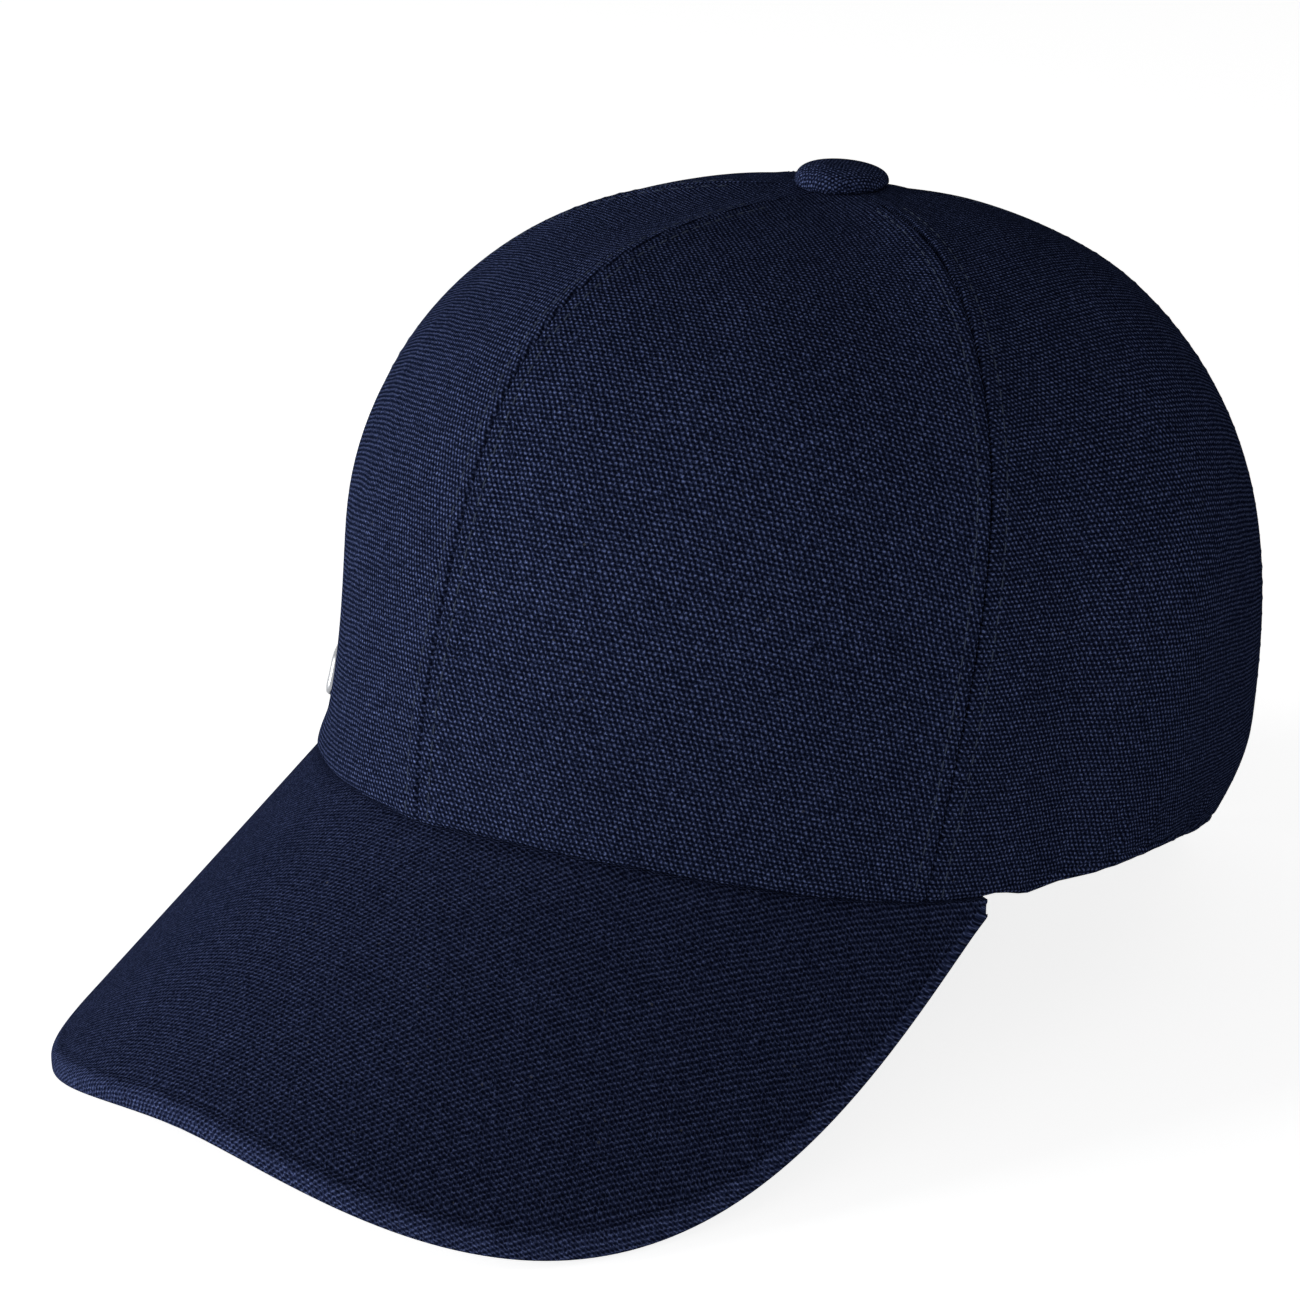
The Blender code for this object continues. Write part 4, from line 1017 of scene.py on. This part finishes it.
def visor_profile(share, steps, depth):
    """Points of the visor at its steps away from the root and under the top, with their cloth places."""
    root, way, width, tuck = visor_lines(share)
    distance, drop = steps(width[:, None], depth)
    flat = root[:, None] + way[:, None] * distance[..., None]
    height = visor_top(flat[..., 0], flat[..., 1]) - drop
    flat = np.concatenate([tuck[:, None], flat], axis=1)
    height = np.concatenate([height[:, :1], height], axis=1)
    grid = np.concatenate([flat, height[..., None]], axis=-1)
    flat_x = grid[..., 0]
    bend = 0.5 / VISOR_ROOT_RADIUS + 0.5 / VISOR_TIP_RADIUS
    wide = 0.5 * (flat_x * np.sqrt(1 + (bend * flat_x) ** 2) + np.arcsinh(bend * flat_x) / bend)
    long = grid[..., 1] / math.cos(VISOR_SLOPE)
    run = run_along(grid, 1)
    last = slice(VISOR_TOP_ROWS, VISOR_TOP_ROWS + 1)
    beyond = np.maximum(run - run[:, last], 0.0)
    wide[:, VISOR_TOP_ROWS:] = wide[:, last]
    long[:, VISOR_TOP_ROWS:] = long[:, last]
    # The third cloth place tags the cloth round the edge, which the canvas paints lighter as painted light
    mark = np.zeros_like(wide)
    mark[:, VISOR_TOP_ROWS + 1:] = EDGE_LIGHT_TAG
    return grid, np.stack([wide + way[:, :1] * beyond, long + way[:, 1:] * beyond, mark], -1)


def edge_radius(width):
    return np.minimum(VISOR_THICKNESS / 2, EDGE_SHARE * width)


def turned_under(width):
    return np.minimum(TURN_UNDER, TURN_UNDER_SHARE * width)


def wrapped(width, depth):
    """Steps over the top, round the edge and a little way back under it, at a depth inside the cloth."""
    half = VISOR_THICKNESS / 2
    flat = width - edge_radius(width)
    close = VISOR_TOP_ROWS // 3 + 1
    parts = np.append(np.linspace(0.0, 0.9, VISOR_TOP_ROWS - close), np.linspace(0.9, 1.0, close + 1)[1:])
    crease = EDGE_CREASE * hump((1.0 - parts) * flat, EDGE_CREASE_OFFSET, EDGE_CREASE_REACH)
    turns = np.linspace(0.0, math.pi, 19)[1:]
    bulge = edge_radius(width) * (1.0 - depth / half) * np.abs(np.sin(turns)) ** EDGE_SQUARENESS
    fall = half - (half - depth) * signed_power(np.cos(turns), EDGE_SQUARENESS)
    back = turned_under(width) * np.array([0.5, 1.0])
    distance = np.concatenate([parts * flat, flat + bulge, flat - back], axis=1)
    drop_top = depth + crease * smooth_step(width / EDGE_CREASE_FADE)
    drop_under = np.full_like(back, VISOR_THICKNESS - depth)
    return distance, np.concatenate([drop_top, np.broadcast_to(fall, bulge.shape), drop_under], axis=1)


def inset(width, depth):
    """Steps over the underside, up to the turned edge of the top cloth."""
    parts = np.append(np.linspace(0.0, 0.97, VISOR_TOP_ROWS), (0.985, 0.995, 1.0))
    distance = parts * (width - edge_radius(width) - turned_under(width) - FIT_GAP)
    return distance, np.full_like(distance, VISOR_THICKNESS - depth)


def visor():
    """The two cloths of the visor, with rows of stitches on the lower one."""
    share = VISOR_END_SHARE * np.sin(np.linspace(-HALF_TURN, HALF_TURN, 181))
    for word, cover, steps in (("top", "visor_top_cover", wrapped), ("under", "visor_under_cover", inset)):
        outer, cloth = visor_profile(share, steps, 0.0)
        inner, _ = visor_profile(share, steps, VISOR_COVER_THICKNESS)
        shell(f"visor_{word}_cloth", outer, inner, cloth, VISOR_CLOTH, cover, "visor_canvas")
    rows = []
    width = visor_lines(share)[2]
    for distance in np.arange(UNDER_STITCH_FIRST, UNDER_STITCH_LAST, UNDER_STITCH_STEP):
        points, ways = line_at(*swapped(outer, inner), -distance)
        kept = width > distance + UNDER_STITCH_MARGIN
        rows += stitch_row(points[kept], ways[kept])
    stitching("visor_under_stitching", rows, DARK_THREAD)


def crown_layer(name, angle, polar, depth, thickness, material, node, slot, soft=0.0):
    """A layer at a depth under the crown, with edges thinned by a soft roll."""
    middle = crown_point(angle, polar, depth + thickness / 2)
    across = run_along(middle, 0)
    along = run_along(middle, 1)
    gap = np.minimum(np.minimum(across, across[-1] - across), np.minimum(along, along[:, -1:] - along))
    thin = soft * thickness / 2 * hump(gap, 0.0, 0.5 * MM)
    outer = crown_point(angle, polar, depth + thin)
    inner = crown_point(angle, polar, depth + thickness - thin)
    cloth = np.stack([across, along, np.zeros_like(along)], -1)
    shell(name, outer, inner, cloth, material, node, slot)
    return outer, inner


def edge_parts(count):
    """Shares from 0 to 1 that crowd at both ends."""
    return 0.5 - 0.5 * np.cos(np.linspace(0.0, math.pi, count))


def tape(name, angle, polar):
    """A tape close under the cloth of the crown."""
    finish = (TAPE_CLOTH, name, "tape_twill", 0.6)
    return crown_layer(name + "_cloth", angle, polar, LINING_DEPTH, TAPE_THICKNESS, *finish)


def seam_tapes():
    """A tape behind each seam. Gives its rows of stitches."""
    tapes = [("front", 1, front_seam, share_above_rim(0.0, LAYER_FOOT))]
    for side, word in ((1, "left"), (-1, "right")):
        tapes.append(("front_" + word, side, side_seam, share_above_rim(SIDE_SEAM_ANGLE, LAYER_FOOT)))
        tapes.append(("rear_" + word, side, rear_seam, share_above_rim(REAR_SEAM_ANGLE, LAYER_FOOT)))
    tapes.append(("back", 1, back_seam, 1.0 - BINDING_SHARE - TAPE_FOOT_GAP / ARCH_HEIGHT))
    rows = []
    for word, side, seam, foot in tapes:
        share = np.linspace(0.0, foot, 70)[None, :]
        middle = side * seam(share, side)
        half = np.minimum(TAPE_WIDTH / 2 / apex_distance(middle, share), TAPE_TIP_ANGLE)
        angle = middle + half * (2 * edge_parts(17) - 1)[:, None]
        outer, inner = tape("seam_tape_" + word, angle, polar_at_share(angle, share))
        low = slice(TAPE_STITCH_ROW, None)
        rows += stitch_rows(inner[:, low], outer[:, low], TAPE_STITCH_OFFSET, -TAPE_STITCH_OFFSET)
    return rows


def buckram():
    """Stiff net behind the two front panels."""
    share = np.linspace(BUCKRAM_TOP, share_above_rim(0.0, LAYER_FOOT), 40)[None, :]
    margin = TAPE_WIDTH / 2 + 2 * FIT_GAP
    for side, word in ((1, "left"), (-1, "right")):
        first, last = between_seams(front_seam, side_seam, side, share, margin)
        angle = first + (last - first) * np.linspace(0.0, 1.0, 30)[:, None]
        name = "buckram_" + word
        finish = (NET_CLOTH, name, "buckram_net")
        polar = polar_at_share(angle, share)
        crown_layer(name + "_net", angle, polar, LINING_DEPTH, BUCKRAM_THICKNESS, *finish)


def arch_binding():
    """A tape round the top of the rear opening. Gives its rows of stitches."""
    angle = math.pi + np.linspace(-BINDING_HALF_ANGLE, BINDING_HALF_ANGLE, 60)[:, None]
    share = np.linspace(1.0 - BINDING_SHARE, 1.0, 12)[None, :]
    outer, inner = tape("arch_binding", angle, polar_at_share(angle, share))
    return stitch_rows(*swapped(inner, outer), TAPE_STITCH_OFFSET, -TAPE_STITCH_OFFSET)


def linings():
    rows = seam_tapes()
    buckram()
    stitching("tape_stitching", rows + arch_binding(), THREAD)


def sweatband():
    """A band inside the rim, softly padded, with a sewn upper edge. Over the visor its foot reaches lower."""
    angle = np.linspace(-SWEATBAND_END_ANGLE, SWEATBAND_END_ANGLE, 261)[:, None]
    fade = smooth_step((VISOR_HALF_ANGLE - np.abs(angle)) / BAND_FOOT_TURN)
    low = BAND_FOOT_RISE * (1 - fade)
    rise = low + (SWEATBAND_HEIGHT - low) * (1 - edge_parts(22))[None, :]
    polar = polar_at_rise(angle, rise)
    down = SWEATBAND_HEIGHT - rise
    roll = BAND_ROLL * hump(down, 0.0, BAND_ROLL_REACH)
    crease = BAND_CREASE * hump(down, BAND_CREASE_OFFSET, BAND_CREASE_REACH)
    length = angle * CROWN_HALF_WIDTH
    wave = BAND_PUCKER * np.sin(2 * math.pi * length / BAND_PUCKER_PITCH)
    pucker = wave * hump(down, BAND_PUCKER_OFFSET, BAND_PUCKER_REACH)
    grids = []
    inner_depth = SWEATBAND_DEPTH + SWEATBAND_THICKNESS - roll - crease + pucker
    for depth in (SWEATBAND_DEPTH + roll, inner_depth):
        grid = crown_point(angle, polar, depth * np.ones_like(polar))
        foot = grid[:, -1:].copy()
        foot[..., 2] -= VISOR_THICKNESS * fade + FIT_GAP
        grids.append(np.concatenate([grid, foot], axis=1))
    run = run_along(grids[0], 1)
    cloth = np.stack([length * np.ones_like(run), run, np.zeros_like(run)], -1)
    shell("sweatband_cloth", *grids, cloth, BAND_CLOTH, "sweatband", "sweatband_twill")
    rows = stitch_rows(*swapped(grids[1], grids[0]), *BAND_STITCH_OFFSETS)
    stitching("sweatband_stitching", rows, THREAD)


def rear_strap():
    """The strap across the rear opening, sewn along both edges on both faces."""
    reach = ARCH_HALF_ANGLE + STRAP_OVERLAP
    angle = math.pi + np.linspace(-reach, reach, 150)[:, None]
    rise = STRAP_RISE + STRAP_HEIGHT * edge_parts(24)[None, :]
    polar = polar_at_rise(angle, rise)
    depth = strap_depth(angle) * np.ones_like(polar)
    finish = (STRAP_CLOTH, "rear_strap", "strap_canvas", 0.7)
    outer, inner = crown_layer("rear_strap_cloth", angle, polar, depth, STRAP_THICKNESS, *finish)
    rows = stitch_rows(*swapped(outer, inner), STITCH_OFFSET, -STITCH_OFFSET)
    rows += stitch_rows(*swapped(inner, outer), STITCH_OFFSET, -STITCH_OFFSET)
    stitching("strap_stitching", rows, THREAD)


def button():
    """A cloth-covered dome, drawn in under its edge and tilted a little."""
    turns = np.linspace(0.0, 2 * math.pi, 97)[:-1]
    steps = np.linspace(0.0, HALF_TURN, 26)[1:]
    radius = BUTTON_RADIUS * np.sin(steps) ** 0.74
    height = FIT_GAP + BUTTON_FOOT + (BUTTON_RISE - BUTTON_FOOT) * np.cos(steps) ** 0.8
    radius = np.concatenate([radius, BUTTON_RADIUS - np.array([0.1, 0.38, 0.65]) * MM])
    height = np.concatenate([height, FIT_GAP + np.array([0.45, 0.2, 0.05]) * MM])
    inner_radius = radius - BUTTON_COVER_THICKNESS * radius / BUTTON_RADIUS
    inner_height = np.maximum(height - BUTTON_COVER_THICKNESS, FIT_GAP * 0.5)
    run = np.concatenate([[0.0], np.cumsum(np.hypot(np.diff(radius), np.diff(height)))]) + radius[0]

    def ring_grid(radii, heights):
        x = np.outer(np.cos(turns), radii)
        y = np.outer(np.sin(turns), radii)
        return np.stack([x, y, np.broadcast_to(heights, x.shape)], -1)

    rings = ring_grid(np.append(inner_radius, radius[::-1]), np.append(inner_height, height[::-1]))
    top = FIT_GAP + BUTTON_RISE
    points, faces = closed_rings(rings, (0.0, 0.0, top - BUTTON_COVER_THICKNESS), (0.0, 0.0, top))
    flat = ring_grid(np.append(run, run[::-1]), 0.0)
    cloth = np.concatenate([flat.reshape(-1, 3), np.zeros((2, 3))])
    slope = (points[:, :2] @ np.array(BUTTON_LOW_SIDE)) * math.tan(BUTTON_TILT)
    points[:, 2] -= slope * np.clip((points[:, 2] - FIT_GAP) / BUTTON_RISE, 0.0, 1.0)
    seat = np.array([0.0, APEX_SETBACK, CROWN_HEIGHT])
    stand_in("button_cloth", points + seat, faces, BUTTON_CLOTH, "button_cover", "button_canvas", cloth)


def panel_plate(name, rings, material, node, slot):
    """A rounded plate that follows the panel, from rings of (share of its size, height off the panel)."""
    turns = np.linspace(0.0, 2 * math.pi, 73)[:-1]
    across = BADGE_WIDTH / 2 * signed_power(np.cos(turns), 2 / BADGE_SQUARENESS)
    tall = BADGE_HEIGHT / 2 * signed_power(np.sin(turns), 2 / BADGE_SQUARENESS)
    base = crown_surface(BADGE_ANGLE, polar_at_rise(BADGE_ANGLE, BADGE_RISE))
    radius = math.hypot(base[0], base[1])

    def on_panel(part, height):
        angle = BADGE_ANGLE + part * across / radius
        level = BADGE_RISE + rim_height(BADGE_ANGLE) - rim_height(angle) + part * tall
        return crown_point(angle, polar_at_rise(angle, level), np.full_like(angle, -height))

    grid = np.stack([on_panel(part, height) for part, height in rings], axis=1)
    foot = on_panel(0.0, rings[0][1])[0]
    tip = on_panel(0.0, rings[-1][1])[0]
    stand_in(name, *closed_rings(grid, foot, tip), material, node, slot)


def badge():
    """A bare polished plate with a domed face, on its felt pad."""
    pad = [(0.93, -0.0003), (0.95, 0.0), (0.93, 0.0003), (0.6, 0.0003)]
    panel_plate("badge_bed", pad, FELT, "badge_pad", "badge_felt")
    rim = [(0.96, 0.0005), (1.0, 0.0008), (1.0, 0.0014), (0.97, 0.0019)]
    dome = [(0.88, 0.0023), (0.7, 0.0026), (0.4, 0.0028)]
    panel_plate("badge_plate_polished", rim + dome, POLISHED, "badge_plate", "badge_metal")


def dress_solids():
    """The pieces that keep their solid form get finishes, and the buckle's pieces softened edges."""
    finishes = {
        "buckle_frame": BUCKLE_METAL,
        "buckle_pin": BUCKLE_METAL,
        "buckle_lever": BUCKLE_METAL,
        "button_shell": STEEL,
        "button_back": STEEL,
        "visor_board": BOARD,
        "strap_anchor": ANCHOR_CLOTH,
    }
    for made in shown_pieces():
        node = made.get("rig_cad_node")
        if node not in finishes:
            continue
        made.data.materials.clear()
        made.data.materials.append(finishes[node])
        if node.startswith("buckle"):
            bevel = made.modifiers.new("soft edge", "BEVEL")
            bevel.width = BUCKLE_BEVEL
            bevel.segments = 3
            bevel.limit_method = "ANGLE"
            bevel.angle_limit = math.radians(40)
            bevel.harden_normals = True


def background_ray(tree):
    """1 for a ray from the camera, a reflection or a window, and 0 for light that falls on a surface."""
    path = add_node(tree, "LightPath", {}).outputs
    seen = path["Is Camera Ray"]
    for output in ("Is Glossy Ray", "Is Transmission Ray"):
        seen = add_node(tree, "Math", {0: seen, 1: path[output]}, operation="MAXIMUM").outputs[0]
    return seen


def floor():
    """A white floor that looks white in the picture and keeps a soft shadow."""
    mesh = bpy.data.meshes.new("floor")
    half = FLOOR_SIZE / 2
    corners = [(-half, -half, 0.0), (half, -half, 0.0), (half, half, 0.0), (-half, half, 0.0)]
    mesh.from_pydata(corners, [], [(0, 1, 2, 3)])
    made = add_object("floor", mesh)
    pale = (FLOOR_SHADE, FLOOR_SHADE, FLOOR_SHADE, 1.0)
    recipe = Recipe("floor", Roughness=1.0, Specular_IOR_Level=0.0, Base_Color=pale, Emission_Color=WHITE)
    glow = recipe.maths("MULTIPLY", background_ray(recipe.tree), FLOOR_GLOW)
    recipe.link(glow, "Emission Strength")
    mesh.materials.append(recipe.material)


def area_light(name, place, target, size, power):
    data = bpy.data.lights.new(name, "AREA")
    data.shape = "DISK"
    data.size = size
    data.energy = power
    made = add_object(name, data)
    way = Vector(target) - Vector(place)
    made.matrix_world = Matrix.Translation(place) @ way.to_track_quat("-Z", "Y").to_matrix().to_4x4()


def studio():
    """A low soft key light in front on the wearer's right, a low fill on the left and a white surround."""
    world = bpy.data.worlds.new("studio")
    bpy.context.scene.world = world
    world.use_nodes = True
    tree = world.node_tree
    background = tree.nodes["Background"]
    background.inputs["Color"].default_value = WHITE
    links = {0: background_ray(tree), 1: 1.0 - AMBIENT, 2: AMBIENT}
    strength = add_node(tree, "Math", links, operation="MULTIPLY_ADD").outputs[0]
    tree.links.new(strength, background.inputs["Strength"])
    for name, turn, height, distance, size, power in LIGHTS:
        place = (distance * math.sin(turn), -distance * math.cos(turn), height)
        area_light(name, place, LIGHT_TARGET, size, power)


def camera():
    data = bpy.data.cameras.new("camera")
    data.lens = CAMERA_LENS
    data.sensor_width = CAMERA_SENSOR
    data.clip_start = 0.01
    made = add_object("camera", data)
    forward = Vector(CAMERA_FORWARD).normalized()
    right = Vector(CAMERA_RIGHT).normalized()
    up = right.cross(forward)
    axes = Matrix((right, up, -forward)).transposed().to_4x4()
    made.matrix_world = Matrix.Translation(Vector(CAMERA_PLACE) + Vector(PLACE)) @ axes
    bpy.context.scene.camera = made


crown()
visor()
linings()
sweatband()
rear_strap()
button()
badge()
dress_solids()
floor()
studio()
camera()
bpy.context.scene.view_settings.view_transform = "Standard"
